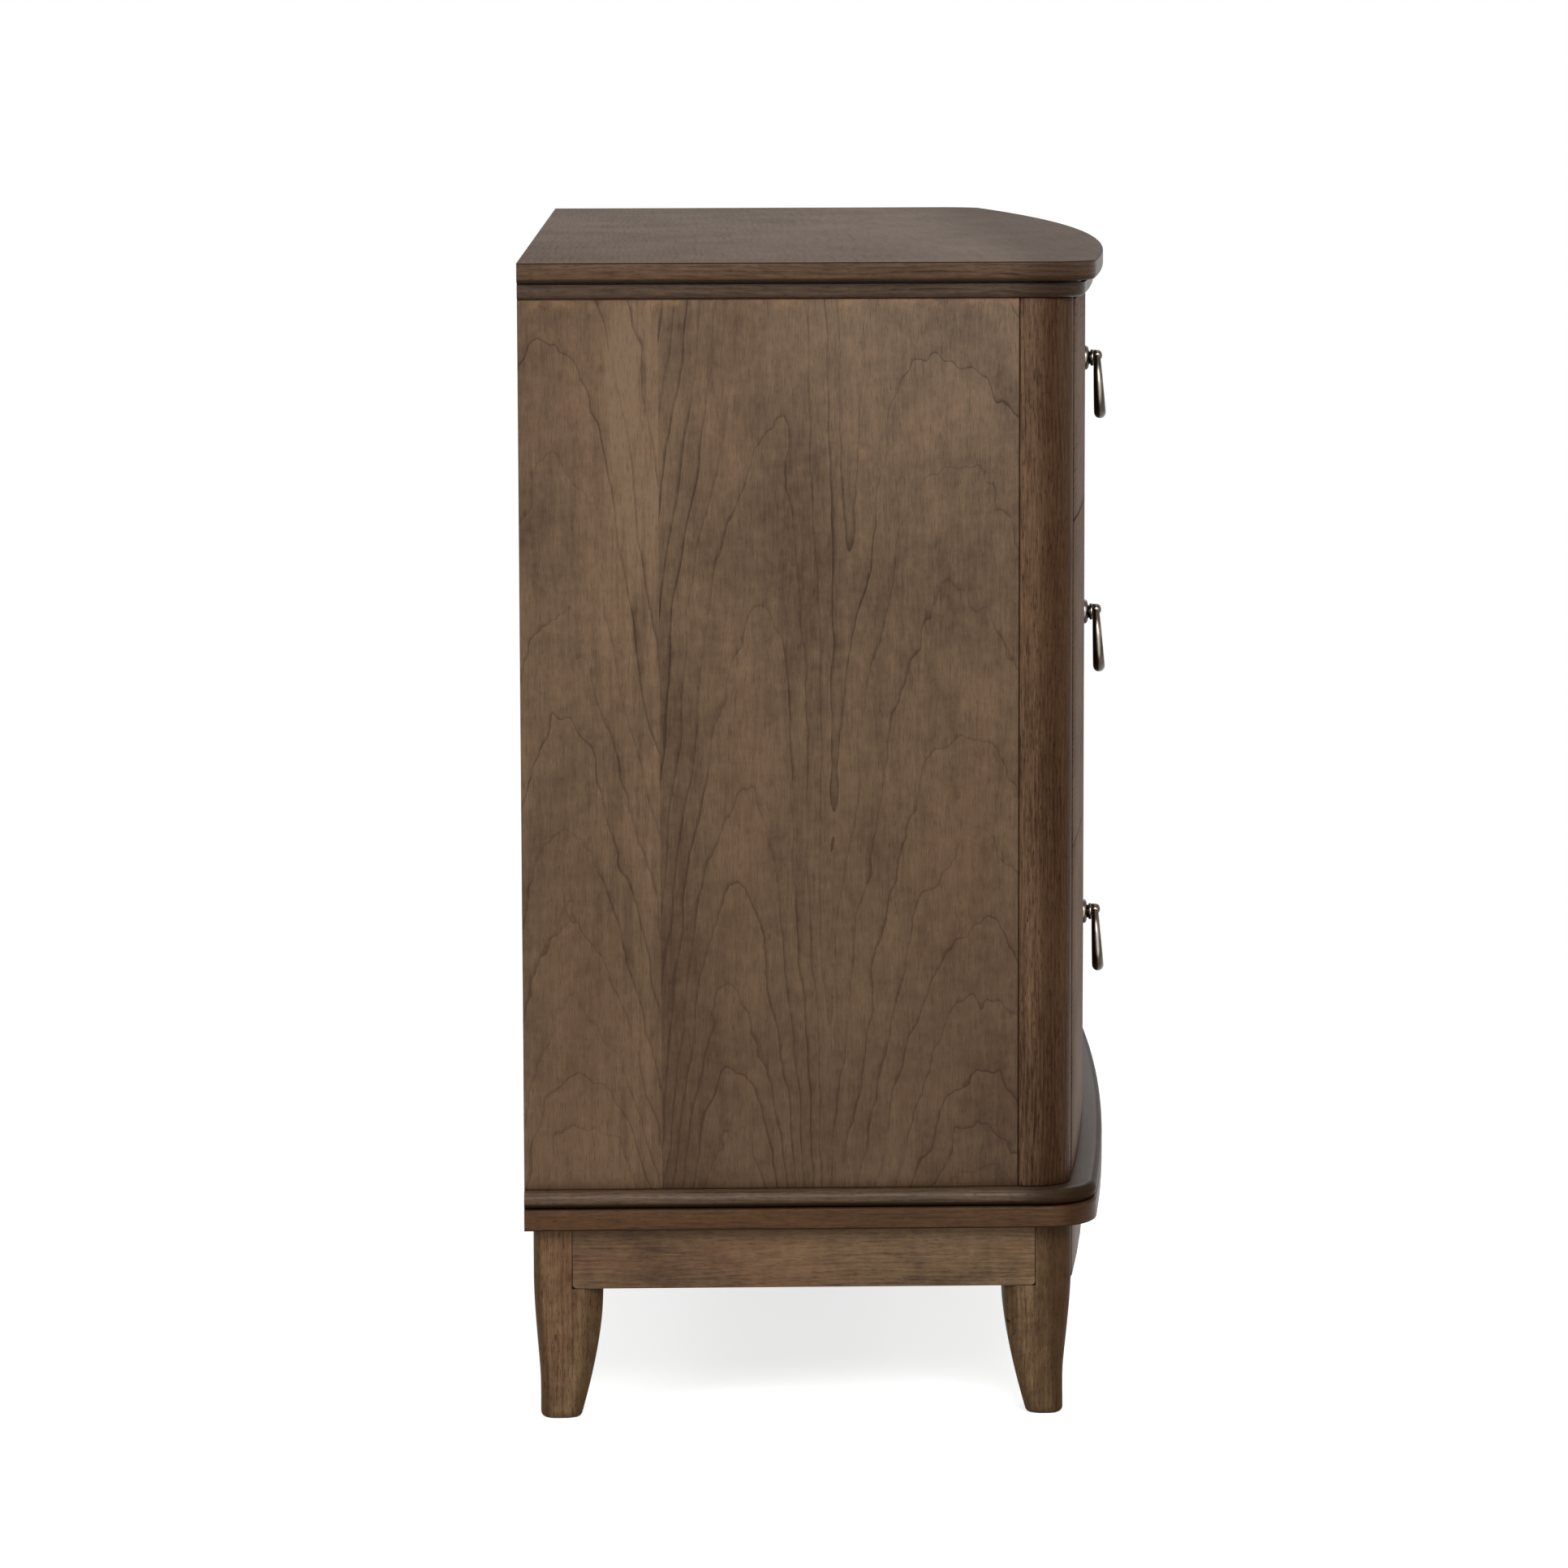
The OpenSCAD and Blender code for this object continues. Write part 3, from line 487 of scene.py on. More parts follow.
    # Partly a real glaze, partly painted shade: spots closed in by nearby wood, in corners and gaps, are
    # drawn darker.
    if glaze_and_crevice_shade:
        for reach, strength in ((0.007, 0.5 * glaze_and_crevice_shade), (0.0018, 2.6 * glaze_and_crevice_shade)):
            colour = f.tint(f.closed_in(reach, strength, 0.9), colour, pore)
    f.gives("Base Color", colour)
    low, high = sheen
    f.gives("Roughness", f.times_plus(cloud, high - low, low))
    f.gives("Specular IOR Level", gloss)
    f.relief(f.times_plus(fleck, -1.0, f.times(fibre, 0.5)), 0.00006)
    return f.material


EDGE_GRAIN = {"hearts": [(0.35, 0.0, 0.16, 0.01)], "lines": 0.4, "mottle": 0.35}
CORNER_FRONT_DARKENING = (BACK - 0.40, BACK - 0.435)

top_wood = wood("lacquered_top_wood", "UV", ((96, 78, 65), (50, 39, 31), (32, 23, 17)),
                [(0.9, 0.0, 0.16, 0.012)], 0.0045, lines=0.3, pores=0.3, mottle=0.3, sheen=(0.52, 0.62),
                streak=0.6, gloss=0.025, blush=0.0, front_darkening=(BACK - 0.36, BACK - 0.47, 0.42))
slab_edge_wood = wood("slab_edge_wood", "UV", ((106, 82, 63), (48, 34, 24), (28, 19, 13)),
                      spacing=0.0032, pores=0.5, sheen=(0.3, 0.4), streak=0.7, gloss=0.1,
                      front_darkening=(*CORNER_FRONT_DARKENING, 0.55), turned=(0.0, 0.95, 0.8), **EDGE_GRAIN)
slab_edge = round_over(0.004, 0.004, 0.004, -90) + round_over(0.0015, SLAB_T - 0.0015, 0.0015, 0, 4)
top_slab = swept_board("top_slab", bowed_outline(HALF, END_DEPTH, BOW, CORNER), SLAB_Z, slab_edge)
for face in top_slab.data.polygons:
    face.material_index = int(abs(face.normal.z) > 0.9 and len(face.vertices) > 4)
stands_for(top_slab, "top_panel", "top_wood", "case", slab_edge_wood, top_wood)


# The moulded board under the slab. It stands back from the slab's edge, with a dark quirk cut along
# its top and a rounded lower edge, and is planted on the case with the slab screwed to it.
SUB_INSET = 0.008
SUB_T = 0.014
SUB_Z = SLAB_Z - SUB_T
QUIRK_DEPTH = 0.004
QUIRK_H = 0.002

moulding_wood = wood("under_board_wood", "UV", ((95, 74, 58), (42, 29, 18), (24, 16, 11)),
                     spacing=0.0032, pores=0.6, sheen=(0.28, 0.38), streak=0.8, gloss=0.17,
                     front_darkening=(*CORNER_FRONT_DARKENING, 0.65), turned=(0.0, 0.0, 0.35), **EDGE_GRAIN)
sub_edge = round_over(0.005, 0.005, 0.005, -90)
sub_edge += [(0, SUB_T - QUIRK_H), (QUIRK_DEPTH, SUB_T - QUIRK_H), (QUIRK_DEPTH, SUB_T)]
sub_outline = bowed_outline(HALF - SUB_INSET, END_DEPTH - SUB_INSET, BOW, CORNER - SUB_INSET)
sub_board = swept_board("moulded_under_board", sub_outline, SUB_Z, sub_edge)
stands_for(sub_board, "sub_top", "edge_wood", "case", moulding_wood)


# The side panels. Boards veneered in cherry with arched figure, from two leaves that meet in one
# upright joint. Their front edge is eased where it meets the corner post in a thin dark seam.
LEAF_JOINT = BACK - 0.1146


def shaped(rough, name, angle=35):
    """A new object with the shape that rough has under its modifiers. Rough is removed."""
    data = bpy.data.meshes.new_from_object(rough.evaluated_get(bpy.context.evaluated_depsgraph_get()))
    bpy.data.objects.remove(rough)
    return piece_of(data, name, angle)


def eased(rough, name, ease, segments, angle=35):
    """A new object like rough with its sharp edges rounded, as sanding leaves them."""
    bevel = rough.modifiers.new("ease", "BEVEL")
    bevel.width = ease
    bevel.segments = segments
    bevel.limit_method = "ANGLE"
    bevel.angle_limit = math.radians(35)
    return shaped(rough, name, angle)


def dressed(node, name, material, slot, body, ease=0.0005):
    """A copy of a CAD node's solid with its edges eased, in its finish, that stands for the node."""
    mesh = bmesh.new()
    mesh.from_mesh(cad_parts[node].data)
    bmesh.ops.remove_doubles(mesh, verts=mesh.verts, dist=2e-6)
    bmesh.ops.dissolve_limit(mesh, angle_limit=math.radians(0.4), verts=mesh.verts, edges=mesh.edges)
    piece = eased(piece_from(mesh, name + "_rough"), name, ease, 2, 40)
    piece.data.materials.clear()
    stands_for(piece, node, slot, body, material)


VENEER_HEARTS = [(0.1004, -0.045, 0.012, 0.072, 1.1), (-0.1300, 0.045, 0.008, 0.088, 2.0)]
REAR_LEAF_HEART = (0.207, 0.033, 0.006, 0.09, 1.5)
PANEL_FOOT = 0.17
TOP_RUB = (0.9235, 0.9335)
veneer = wood("cherry_veneer", "ZYX", ((117, 94, 72), (56, 39, 27), (42, 29, 20)),
              VENEER_HEARTS, 0.0064, lines=0.5, pores=0.3, mottle=0.7, sheen=(0.38, 0.5),
              leaf=(LEAF_JOINT, REAR_LEAF_HEART), streak=0.4, gloss=0.15, foot=PANEL_FOOT, blush=0.12,
              rub=TOP_RUB, marks=0.7)
for side in ("left", "right"):
    dressed(f"{side}_side_panel", f"{side}_side_board", veneer, "case_veneer", "case")


# The corner posts. Solid uprights with a large quarter round on the outer corner, finished darker
# than the panels, with straight grain and open pores.
POST_FRONT_DARKENING = (BACK - 0.420, BACK - 0.436, 0.62)
post_wood = wood("dark_post_wood", "ZYX", ((114, 88, 66), (54, 34, 20), (24, 15, 10)),
                 [(0.5, 0.0, 0.2, 0.01)], 0.0031, lines=0.4, pores=0.7, mottle=0.3, sheen=(0.4, 0.5),
                 streak=0.9, gloss=0.06, front_darkening=POST_FRONT_DARKENING, blush=0.15)
for side in ("left", "right"):
    dressed(f"{side}_corner_post", f"{side}_round_post", post_wood, "post_wood", "case")


# The carcase inside. A partition between the columns and rails behind the gaps, stained as they show,
# and in pale hardwood the upper rails, the runners under the drawer sides and the stop blocks.
PALE_COLOURS = ((196, 168, 128), (158, 126, 88), (110, 82, 54))
PALE_GRAIN = {"spacing": 0.004, "lines": 0.35, "pores": 0.3, "mottle": 0.25, "sheen": (0.5, 0.62),
              "streak": 0.6}
INNER_HEARTS = [(0.4, 0.0, 0.2, 0.02)]
pale_wood = wood("pale_carcase_wood", "XYZ", PALE_COLOURS, [(0.4, 0.0, 0.2, 0.01)], **PALE_GRAIN)
upright_wood = wood("stained_partition_wood", "ZYX", ((112, 91, 73), (72, 54, 41), (46, 34, 26)),
                    INNER_HEARTS, 0.004, lines=0.4, pores=0.3, mottle=0.3, streak=0.6)
rail_wood = wood("stained_rail_wood", "XYZ", ((84, 64, 49), (50, 36, 27), (28, 19, 14)),
                 INNER_HEARTS, 0.0035, lines=0.4, pores=0.5, mottle=0.3, streak=0.7)
runner_wood = wood("runner_wood", "YXZ", PALE_COLOURS, INNER_HEARTS, **PALE_GRAIN)
dressed("centre_partition", "partition_board", upright_wood, "case_veneer", "case")
dressed("top_rails", "upper_rails", pale_wood, "box_wood", "case")
dressed("drawer_rails", "dust_rails", rail_wood, "edge_wood", "case")
dressed("drawer_runners", "side_runners", runner_wood, "box_wood", "case")
dressed("drawer_stops", "stop_blocks", runner_wood, "box_wood", "case")


# The back panel. Thin plywood in the rabbets of the side panels, pinned along its edges.
back_ply = wood("back_plywood", "XZY", ((168, 138, 102), (128, 98, 68), (86, 62, 42)),
                [(0.3, 0.0, 0.02, 0.03)], 0.012, lines=0.5, pores=0.35, mottle=0.4, sheen=(0.55, 0.7),
                streak=0.5)
dressed("back_panel", "plywood_back", back_ply, "plywood", "case")


# The bead and the band. A half-round bead runs round the foot of the case on the edge of its bottom
# board, and a plain band with eased arrises carries it on the legs.
BAND_Z = 0.164
BAND_T = 0.018
BEAD_T = 0.0145
BASE_DEPTH = END_DEPTH + 0.0035
BASE_BOW = BOW - 0.0025

bead_wood = wood("bead_wood", "UV", ((108, 86, 66), (42, 29, 18), (24, 16, 11)),
                 spacing=0.0032, pores=0.6, sheen=(0.28, 0.38), streak=0.5, gloss=0.17, glaze_and_crevice_shade=0.2,
                 front_darkening=(*CORNER_FRONT_DARKENING, 0.8), turned=(0.75, 0.0, 0.97), **EDGE_GRAIN)
base_outline = bowed_outline(HALF, BASE_DEPTH, BASE_BOW, CORNER)
bead_r = BEAD_T / 2
bead_edge = [(bead_r - bead_r * math.sin(a), bead_r - bead_r * math.cos(a))
             for a in (math.radians(180 * k / 14) for k in range(15))]
bead_board = swept_board("bead_board", base_outline, BAND_Z + BAND_T, bead_edge)
stands_for(bead_board, "case_bottom", "edge_wood", "case", bead_wood)

band_wood = wood("band_wood", "UV", ((97, 67, 42), (48, 29, 15), (22, 14, 8)), spacing=0.0034,
                 pores=0.6, sheen=(0.3, 0.42), streak=0.7, gloss=0.13, glaze_and_crevice_shade=0.35, blush=0.3,
                 turned=(0.6, 0.3, 0.9), **EDGE_GRAIN)
band_ease = 0.002
band_edge = round_over(band_ease, band_ease, band_ease, -90, 4)
band_edge += round_over(band_ease, BAND_T - band_ease, band_ease, 0, 4)
band_board = swept_board("plain_band", base_outline, BAND_Z, band_edge)
stands_for(band_board, "base_board", "edge_wood", "case", band_wood)


# The aprons. Rails between the legs under the band, notched over the legs' shoulders; the front one
# follows the bow. The lower corners of the end rails are rounded, and diagonal braces hold the corners.
LEG_HALF = 0.811
LEG_BACK = 0.007
LEG_FRONT = 0.4575
CHEEK = 0.032
APRON_Z = 0.112
APRON_T = 0.020


def end_rail(name, side):
    """An end rail with its two lower corners rounded, sawn to length between the legs' cheeks."""
    round_r = 0.004
    rear, fore = LEG_BACK + CHEEK, LEG_FRONT - CHEEK
    outline = [(rear, BAND_Z), (fore, BAND_Z)]
    for corner, turn in ((fore - round_r, 0), (rear + round_r, -90)):
        for k in range(6):
            a = math.radians(turn - 18 * k)
            outline.append((corner + round_r * math.cos(a), APRON_Z + round_r + round_r * math.sin(a)))
    mesh = bmesh.new()
    outer = [mesh.verts.new((side * LEG_HALF, BACK - forward, z)) for forward, z in outline]
    inner = [mesh.verts.new((side * (LEG_HALF - APRON_T), BACK - forward, z)) for forward, z in outline]
    mesh.faces.new(outer)
    mesh.faces.new(inner[::-1])
    for k in range(len(outline)):
        mesh.faces.new((outer[k - 1], outer[k], inner[k], inner[k - 1]))
    return eased(piece_from(mesh, name + "_rough"), name, 0.0013, 3)


APRON_COLOURS = ((125, 99, 71), (60, 41, 25), (30, 20, 13))
APRON_GRAIN = {"hearts": [(0.6, 0.0, 0.1, 0.02)], "spacing": 0.0036, "lines": 0.3, "pores": 0.45,
               "mottle": 0.9, "sheen": (0.4, 0.52), "streak": 0.6, "blush": 0.35}
side_apron_wood = wood("side_apron_wood", "YZX", APRON_COLOURS, marks=0.6, **APRON_GRAIN)
long_apron_wood = wood("long_apron_wood", "XZY", APRON_COLOURS, turned=(0.75, 0.0, 0.0), **APRON_GRAIN)
for side, way in (("left", -1), ("right", 1)):
    rail = end_rail(f"{side}_end_rail", way)
    stands_for(rail, f"{side}_apron", "leg_wood", "case", side_apron_wood)
for end in ("front", "rear"):
    dressed(f"{end}_apron", f"{end}_long_rail", long_apron_wood, "leg_wood", "case", 0.0012)
dressed("corner_braces", "corner_blocks", pale_wood, "box_wood", "case", 0.001)


# The legs. Solid sabre legs, sawn and shaped: the outer faces tuck in at the ankle and turn out a little
# at the foot, the inner faces curve away, and notches take the aprons. A turned leg with a plate stands
# under the middle of the wide base.
LEG_W = 0.0575
ANKLE_Z = 0.125
SWELL_Z = 0.100
FOOT_CUT = 0.0192
CUT_POWER = 1.55
FOOT_ROUND = 0.0045
FLARE = 0.2
FLARE_Z = 0.045
FOOT_CORNER = 0.0125
INNER_SHARPER = 0.0065
FOOT_FACET = 0.011
FACET_DEEP = 0.55
FACET_POWER = 1.45


def soft_rise(share):
    share = min(max(share, 0), 1)
    return share * share * (3 - 2 * share)


def leg_ring(z, tuck, outer_top, facet_w, trim):
    """One section of a leg, in metres in from its outer corner: round corners, and a soft facet facet_w
    wide where each outer face turns to the inside."""
    flare = FLARE * tuck * (1 - soft_rise(z / FLARE_Z))
    near = tuck * (1 - soft_rise(z / ANKLE_Z)) - flare + trim
    far = LEG_W - FOOT_CUT * max(1 - z / SWELL_Z, 0) ** CUT_POWER - trim
    outer_r = FOOT_CORNER + (outer_top - FOOT_CORNER) * soft_rise(z / ANKLE_Z) - trim
    inner_r = FOOT_CORNER - INNER_SHARPER * soft_rise((z - 0.05) / 0.06) - trim
    wide = FOOT_FACET + (facet_w - FOOT_FACET) * soft_rise(z / 0.08) - trim
    deep = FACET_DEEP * wide
    ring = []
    corners = ((near + outer_r, near + outer_r, outer_r, outer_r, 180, 1.0),
               (far - wide, near + deep, wide, deep, 270, FACET_POWER),
               (far - inner_r, far - inner_r, inner_r, inner_r, 0, 1.0),
               (near + deep, far - wide, deep, wide, 90, FACET_POWER))
    for p, q, p_r, q_r, turn, flatness in corners:
        for k in range(9):
            a = math.radians(turn + 90 * k / 8)
            c, s = math.cos(a), math.sin(a)
            ring.append((p + math.copysign(p_r * abs(c) ** flatness, c),
                         q + math.copysign(q_r * abs(s) ** flatness, s), z))
    return ring


def sabre_leg(name, side, front):
    """A lofted leg, notched for the two aprons that lie on its shoulder."""
    tuck, outer_top, facet_w = (0.0095, 0.031, 0.013) if front else (0.0062, 0.009, 0.019)
    heights = [(FOOT_ROUND * (1 - math.cos(a)), FOOT_ROUND * (1 - math.sin(a)))
               for a in map(math.radians, (0, 22, 45, 67, 90))]
    heights += [(FOOT_ROUND + (BAND_Z - FOOT_ROUND) * k / 40, 0) for k in range(1, 41)]
    mesh = bmesh.new()
    rows = []
    for z, trim in heights:
        row = []
        for p, q, level in leg_ring(z, tuck, outer_top, facet_w, trim):
            forward = LEG_FRONT - q if front else LEG_BACK + q
            row.append(mesh.verts.new((side * (LEG_HALF - p), BACK - forward, level)))
        rows.append(row)
    for row, above in zip(rows, rows[1:]):
        for k in range(len(row)):
            mesh.faces.new((row[k - 1], row[k], above[k], above[k - 1]))
    mesh.faces.new(rows[0])
    mesh.faces.new(rows[-1])
    rough = piece_from(mesh, name + "_rough")
    notch = bmesh.new()
    over = 0.001
    turned = LEG_FRONT - LEG_W - over if front else LEG_BACK + CHEEK
    along_end = (LEG_HALF - APRON_T, LEG_HALF + over, turned, turned + LEG_W - CHEEK + over)
    ahead = LEG_FRONT - APRON_T if front else LEG_BACK - over
    along_face = (LEG_HALF - LEG_W - over, LEG_HALF - CHEEK, ahead, ahead + APRON_T + over)
    for x0, x1, y0, y1 in (along_end, along_face):
        corners = [notch.verts.new((side * x, BACK - y, z)) for z in (APRON_Z, BAND_Z + over)
                   for x, y in ((x0, y0), (x1, y0), (x1, y1), (x0, y1))]
        for quad in ((0, 1, 2, 3), (4, 5, 6, 7), (0, 1, 5, 4), (1, 2, 6, 5), (2, 3, 7, 6), (3, 0, 4, 7)):
            notch.faces.new([corners[k] for k in quad])
    cutter = piece_from(notch, name + "_notch")
    cut = rough.modifiers.new("notch", "BOOLEAN")
    cut.operation = "DIFFERENCE"
    cut.solver = "EXACT"
    cut.object = cutter
    leg = shaped(rough, name)
    bpy.data.objects.remove(cutter)
    return leg


LEG_DENTS = ((0.0805, BACK - 0.4032, 0.0017), (0.0690, BACK - 0.4078, 0.0014))
leg_wood = wood("leg_wood", "ZYX", ((134, 108, 80), *APRON_COLOURS[1:]), [(0.6, 0.0, 0.2, 0.02)],
                0.0036, lines=0.25, pores=0.6, mottle=0.85, sheen=(0.42, 0.54), streak=0.7, gloss=0.08,
                blush=0.35, marks=0.8, front_darkening=(BACK - 0.416, BACK - 0.432, 0.55),
                turned=(0.6, 0.0, 0.0), dents=LEG_DENTS)
for end in ("front", "rear"):
    for side, way in (("left", -1), ("right", 1)):
        leg = sabre_leg(f"{end}_{side}_sabre_leg", way, end == "front")
        stands_for(leg, f"{end}_{side}_leg", "leg_wood", "case", leg_wood)
dressed("centre_leg", "turned_centre_leg", leg_wood, "leg_wood", "case", 0.0006)


# The drawers. Bowed fronts, sides joined to them with dovetails, a back between the sides and a thin
# plywood bottom in grooves. The fronts are stained and lacquered, the boxes left pale.
# The fronts get strong painted shade in the narrow gaps round them, partly as a glaze.
front_wood = wood("drawer_front_wood", "XZY", ((104, 81, 62), (56, 40, 29), (40, 28, 20)),
                  [(0.84, 0.0, 0.1, 0.03)], 0.0048, lines=0.5, pores=0.3, mottle=0.5, sheen=(0.5, 0.6),
                  streak=0.4, gloss=0.02, glaze_and_crevice_shade=1.3, blush=0.1)
BOX_COLOURS = ((204, 178, 138), (168, 138, 100), (120, 92, 62))
BOX_GRAIN = {"hearts": [(0.9, 0.0, 0.1, 0.02)], "spacing": 0.0045, "lines": 0.35, "pores": 0.3,
             "mottle": 0.25, "sheen": (0.45, 0.58), "streak": 0.5}
side_wood = wood("drawer_side_wood", "YZX", BOX_COLOURS, **BOX_GRAIN)
box_back_wood = wood("drawer_back_wood", "XZY", BOX_COLOURS, **BOX_GRAIN)
bottom_ply = wood("drawer_bottom_plywood", "XYZ", ((196, 166, 124), (160, 128, 90), (112, 84, 56)),
                  [(0.05, 0.0, 0.02, 0.02)], 0.011, lines=0.4, pores=0.3, mottle=0.3,
                  sheen=(0.5, 0.62), streak=0.4)
DRAWERS = [(row, side) for row in ("top", "mid", "low") for side in ("left", "right")]
for row, side in DRAWERS:
    body = f"{row}_{side}_drawer"
    dressed(f"{row}_{side}_front", f"{row}_{side}_bow_front", front_wood, "front_wood", body, 0.0008)
    dressed(f"{row}_{side}_sides", f"{row}_{side}_box_sides", side_wood, "box_wood", body, 0.0004)
    dressed(f"{row}_{side}_back", f"{row}_{side}_box_back", box_back_wood, "box_wood", body, 0.0004)
    dressed(f"{row}_{side}_bottom", f"{row}_{side}_box_bottom", bottom_ply, "plywood", body, 0.0004)


# The pulls. Cast, aged pewter with a painted highlight on the faces that turn to either side: a domed
# rosette with a collar, and a barrel head with a round end. A drop-shaped ring, thicker at its foot,
# swings on a pin through the head.
FRONT_HALF = 0.777
FRONT_BOW = BOW - 0.0015
FRONT_R = bow_radius(FRONT_HALF, FRONT_BOW)
FRONT_CENTRE = END_DEPTH - 0.012 + FRONT_BOW - FRONT_R
MEETING_GAP = 0.0015
PULL_TURN = math.asin((FRONT_HALF + MEETING_GAP) / 2 / FRONT_R)
PIVOT_Z = {"top": 0.8645, "mid": 0.63525, "low": 0.3615}
HEAD_UP = 0.002
PIVOT_OUT = 0.011
HEAD_R = 0.005
HEAD_HALF = 0.0047
ROSETTE_R = 0.011
RIM_H = 0.0010
DOME_H = 0.0027
COLLAR_R = 0.0066
RING_TILT = math.radians(3.2)
RING_HALF = 0.018
RING_H = 0.0513
WIRE_TOP_R = 0.003
WIRE_FOOT_R = 0.0053
EYE_OUT = 0.0062
EYE_R = 0.0034
EYE_HALF = 0.0017
PIN_R = 0.002
PIN_HALF = 0.0072

DULL_PEWTER = (58, 49, 41)
WORN_PEWTER = (84, 74, 65)
PAINTED_HIGHLIGHT_PEWTER = (196, 186, 175)
BLACK_PEWTER = (24, 20, 17)

pewter = Finish("aged_pewter")
spot = pewter.node("TexCoord")["Object"]
tarnish = pewter.noise(spot, 150.0, 2.0, 0.5)
scuffs = pewter.noise(spot, 900.0, 2.0, 0.5)
worn = pewter.steps(tarnish, (0.0, 0.0), (0.35, 0.1), (0.65, 0.9), (1.0, 1.0))
dull = pewter.tint(worn, linear(*DULL_PEWTER), linear(*WORN_PEWTER))
facing = pewter.node("SeparateXYZ", (0, pewter.node("TexCoord")["Normal"]))
# Painted highlight: faces that turn to the left and right, and a little up, are drawn a bright pewter.
outer = pewter.times_plus(facing[2], 0.1, pewter.maths("ABSOLUTE", facing[0]))
painted_highlight = pewter.passing(outer, 0.84, 1.02)
metal = pewter.tint(painted_highlight, dull, linear(*PAINTED_HIGHLIGHT_PEWTER))
blackened = pewter.closed_in(0.0025, 0.75, 0.85)
pewter.gives("Base Color", pewter.tint(blackened, metal, linear(*BLACK_PEWTER)))
pewter.gives("Metallic", 1.0)
pewter.gives("Roughness", pewter.times_plus(scuffs, 0.08, 0.27))
pewter.relief(tarnish, 0.000012)


def pull_place(row, side):
    """The frame of a pull's pivot: its y axis points out of the bowed front and its z axis up."""
    turn = side * PULL_TURN
    out = Vector((math.sin(turn), -math.cos(turn), 0))
    across = Vector((math.cos(turn), math.sin(turn), 0))
    middle = Vector((0, BACK - FRONT_CENTRE, PIVOT_Z[row])) + out * (FRONT_R + PIVOT_OUT)
    axes = Matrix((across, out, Vector((0, 0, 1)))).transposed().to_4x4()
    return Matrix.Translation(middle) @ axes


def turned_on(mesh, place, profile, steps=40):
    """Turns a profile of (radius, distance out) about the y axis of a place; it starts and ends on it."""
    rows = []
    for radius, out in profile:
        if radius == 0:
            rows.append([mesh.verts.new(place @ Vector((0, out, 0)))] * steps)
            continue
        rows.append([mesh.verts.new(place @ Vector((radius * math.cos(a), out, radius * math.sin(a))))
                     for a in (2 * math.pi * k / steps for k in range(steps))])
    for row, beyond in zip(rows, rows[1:]):
        for k in range(steps):
            corners = []
            for vert in (row[k - 1], row[k], beyond[k], beyond[k - 1]):
                if vert not in corners:
                    corners.append(vert)
            mesh.faces.new(corners)


def rosette_piece(name, place):
    """The rosette with its collar, and the head above its middle."""
    mesh = bmesh.new()
    dome = [(ROSETTE_R - 0.0046 * (k / 8) ** 1.7, RIM_H + DOME_H * math.sin(math.pi / 2 * k / 8))
            for k in range(9)]
    collar = [(COLLAR_R + 0.0008 * math.sin(a), 0.0066 - 0.0014 * math.cos(a))
              for a in (math.pi * k / 8 for k in range(9))]
    neck = [(0.0058, 0.0042), (0.0056, 0.0049)]
    rosette = [(0, 0), (ROSETTE_R, 0)] + dome + neck + collar + [(0, 0.008)]
    wall = Matrix.Translation((0, -PIVOT_OUT, -HEAD_UP))
    turned_on(mesh, place @ wall, rosette)
    round_end = [(HEAD_R * math.cos(a), 0.0008 + 0.0039 * math.sin(a))
                 for a in (math.pi / 2 * k / 10 for k in range(10))]
    head = [(0, -HEAD_HALF), (0.0044, -HEAD_HALF), (HEAD_R, -0.0030)] + round_end + [(0, HEAD_HALF)]
    turned_on(mesh, place, head)
    return piece_from(mesh, name, 40)


def ring_piece(name, place):
    """The ring with an eye at each end and its pin, hanging a little away from the front."""
    hung = place @ Matrix.Rotation(RING_TILT, 4, "X")
    mesh = bmesh.new()
    start = math.asin(EYE_OUT / RING_HALF)
    bend_steps = 72
    wire_steps = 20
    rows = []
    for k in range(bend_steps + 1):
        a = start + (2 * math.pi - 2 * start) * k / bend_steps
        middle = Vector((RING_HALF * math.sin(a), 0, RING_H / 2 * (math.cos(a) - 1)))
        side_way = Vector((RING_H / 2 * math.sin(a), 0, RING_HALF * math.cos(a))).normalized()
        radius = WIRE_TOP_R + (WIRE_FOOT_R - WIRE_TOP_R) * (1 - math.cos(a)) / 2
        ways = [math.cos(b) * side_way + math.sin(b) * Vector((0, 1, 0))
                for b in (2 * math.pi * j / wire_steps for j in range(wire_steps))]
        rows.append([mesh.verts.new(hung @ (middle + radius * way)) for way in ways])
    for row, beyond in zip(rows, rows[1:]):
        for j in range(wire_steps):
            mesh.faces.new((row[j - 1], row[j], beyond[j], beyond[j - 1]))
    mesh.faces.new(rows[0])
    mesh.faces.new(rows[-1])
    pin_way = hung @ Matrix.Rotation(-math.pi / 2, 4, "Z")
    for way in (-1, 1):
        eye = [(EYE_R * math.sin(a), way * EYE_OUT - EYE_HALF * math.cos(a))
               for a in (math.pi * k / 12 for k in range(1, 12))]
        eye = [(0, way * EYE_OUT - EYE_HALF)] + eye + [(0, way * EYE_OUT + EYE_HALF)]
        turned_on(mesh, pin_way, eye, 24)
    pin = [(0, -PIN_HALF), (PIN_R, 0.0004 - PIN_HALF), (PIN_R, PIN_HALF - 0.0004), (0, PIN_HALF)]
    turned_on(mesh, pin_way, pin, 20)
    return piece_from(mesh, name, 40)


for row, side in DRAWERS:
    place = pull_place(row, 1 if side == "right" else -1)
    rosette = rosette_piece(f"{row}_{side}_rosette", place)
    stands_for(rosette, f"{row}_{side}_pull", "pewter", f"{row}_{side}_drawer", pewter.material)
    ring = ring_piece(f"{row}_{side}_drop_ring", place)
    stands_for(ring, f"{row}_{side}_ring", "pewter", f"{row}_{side}_ring_body", pewter.material)


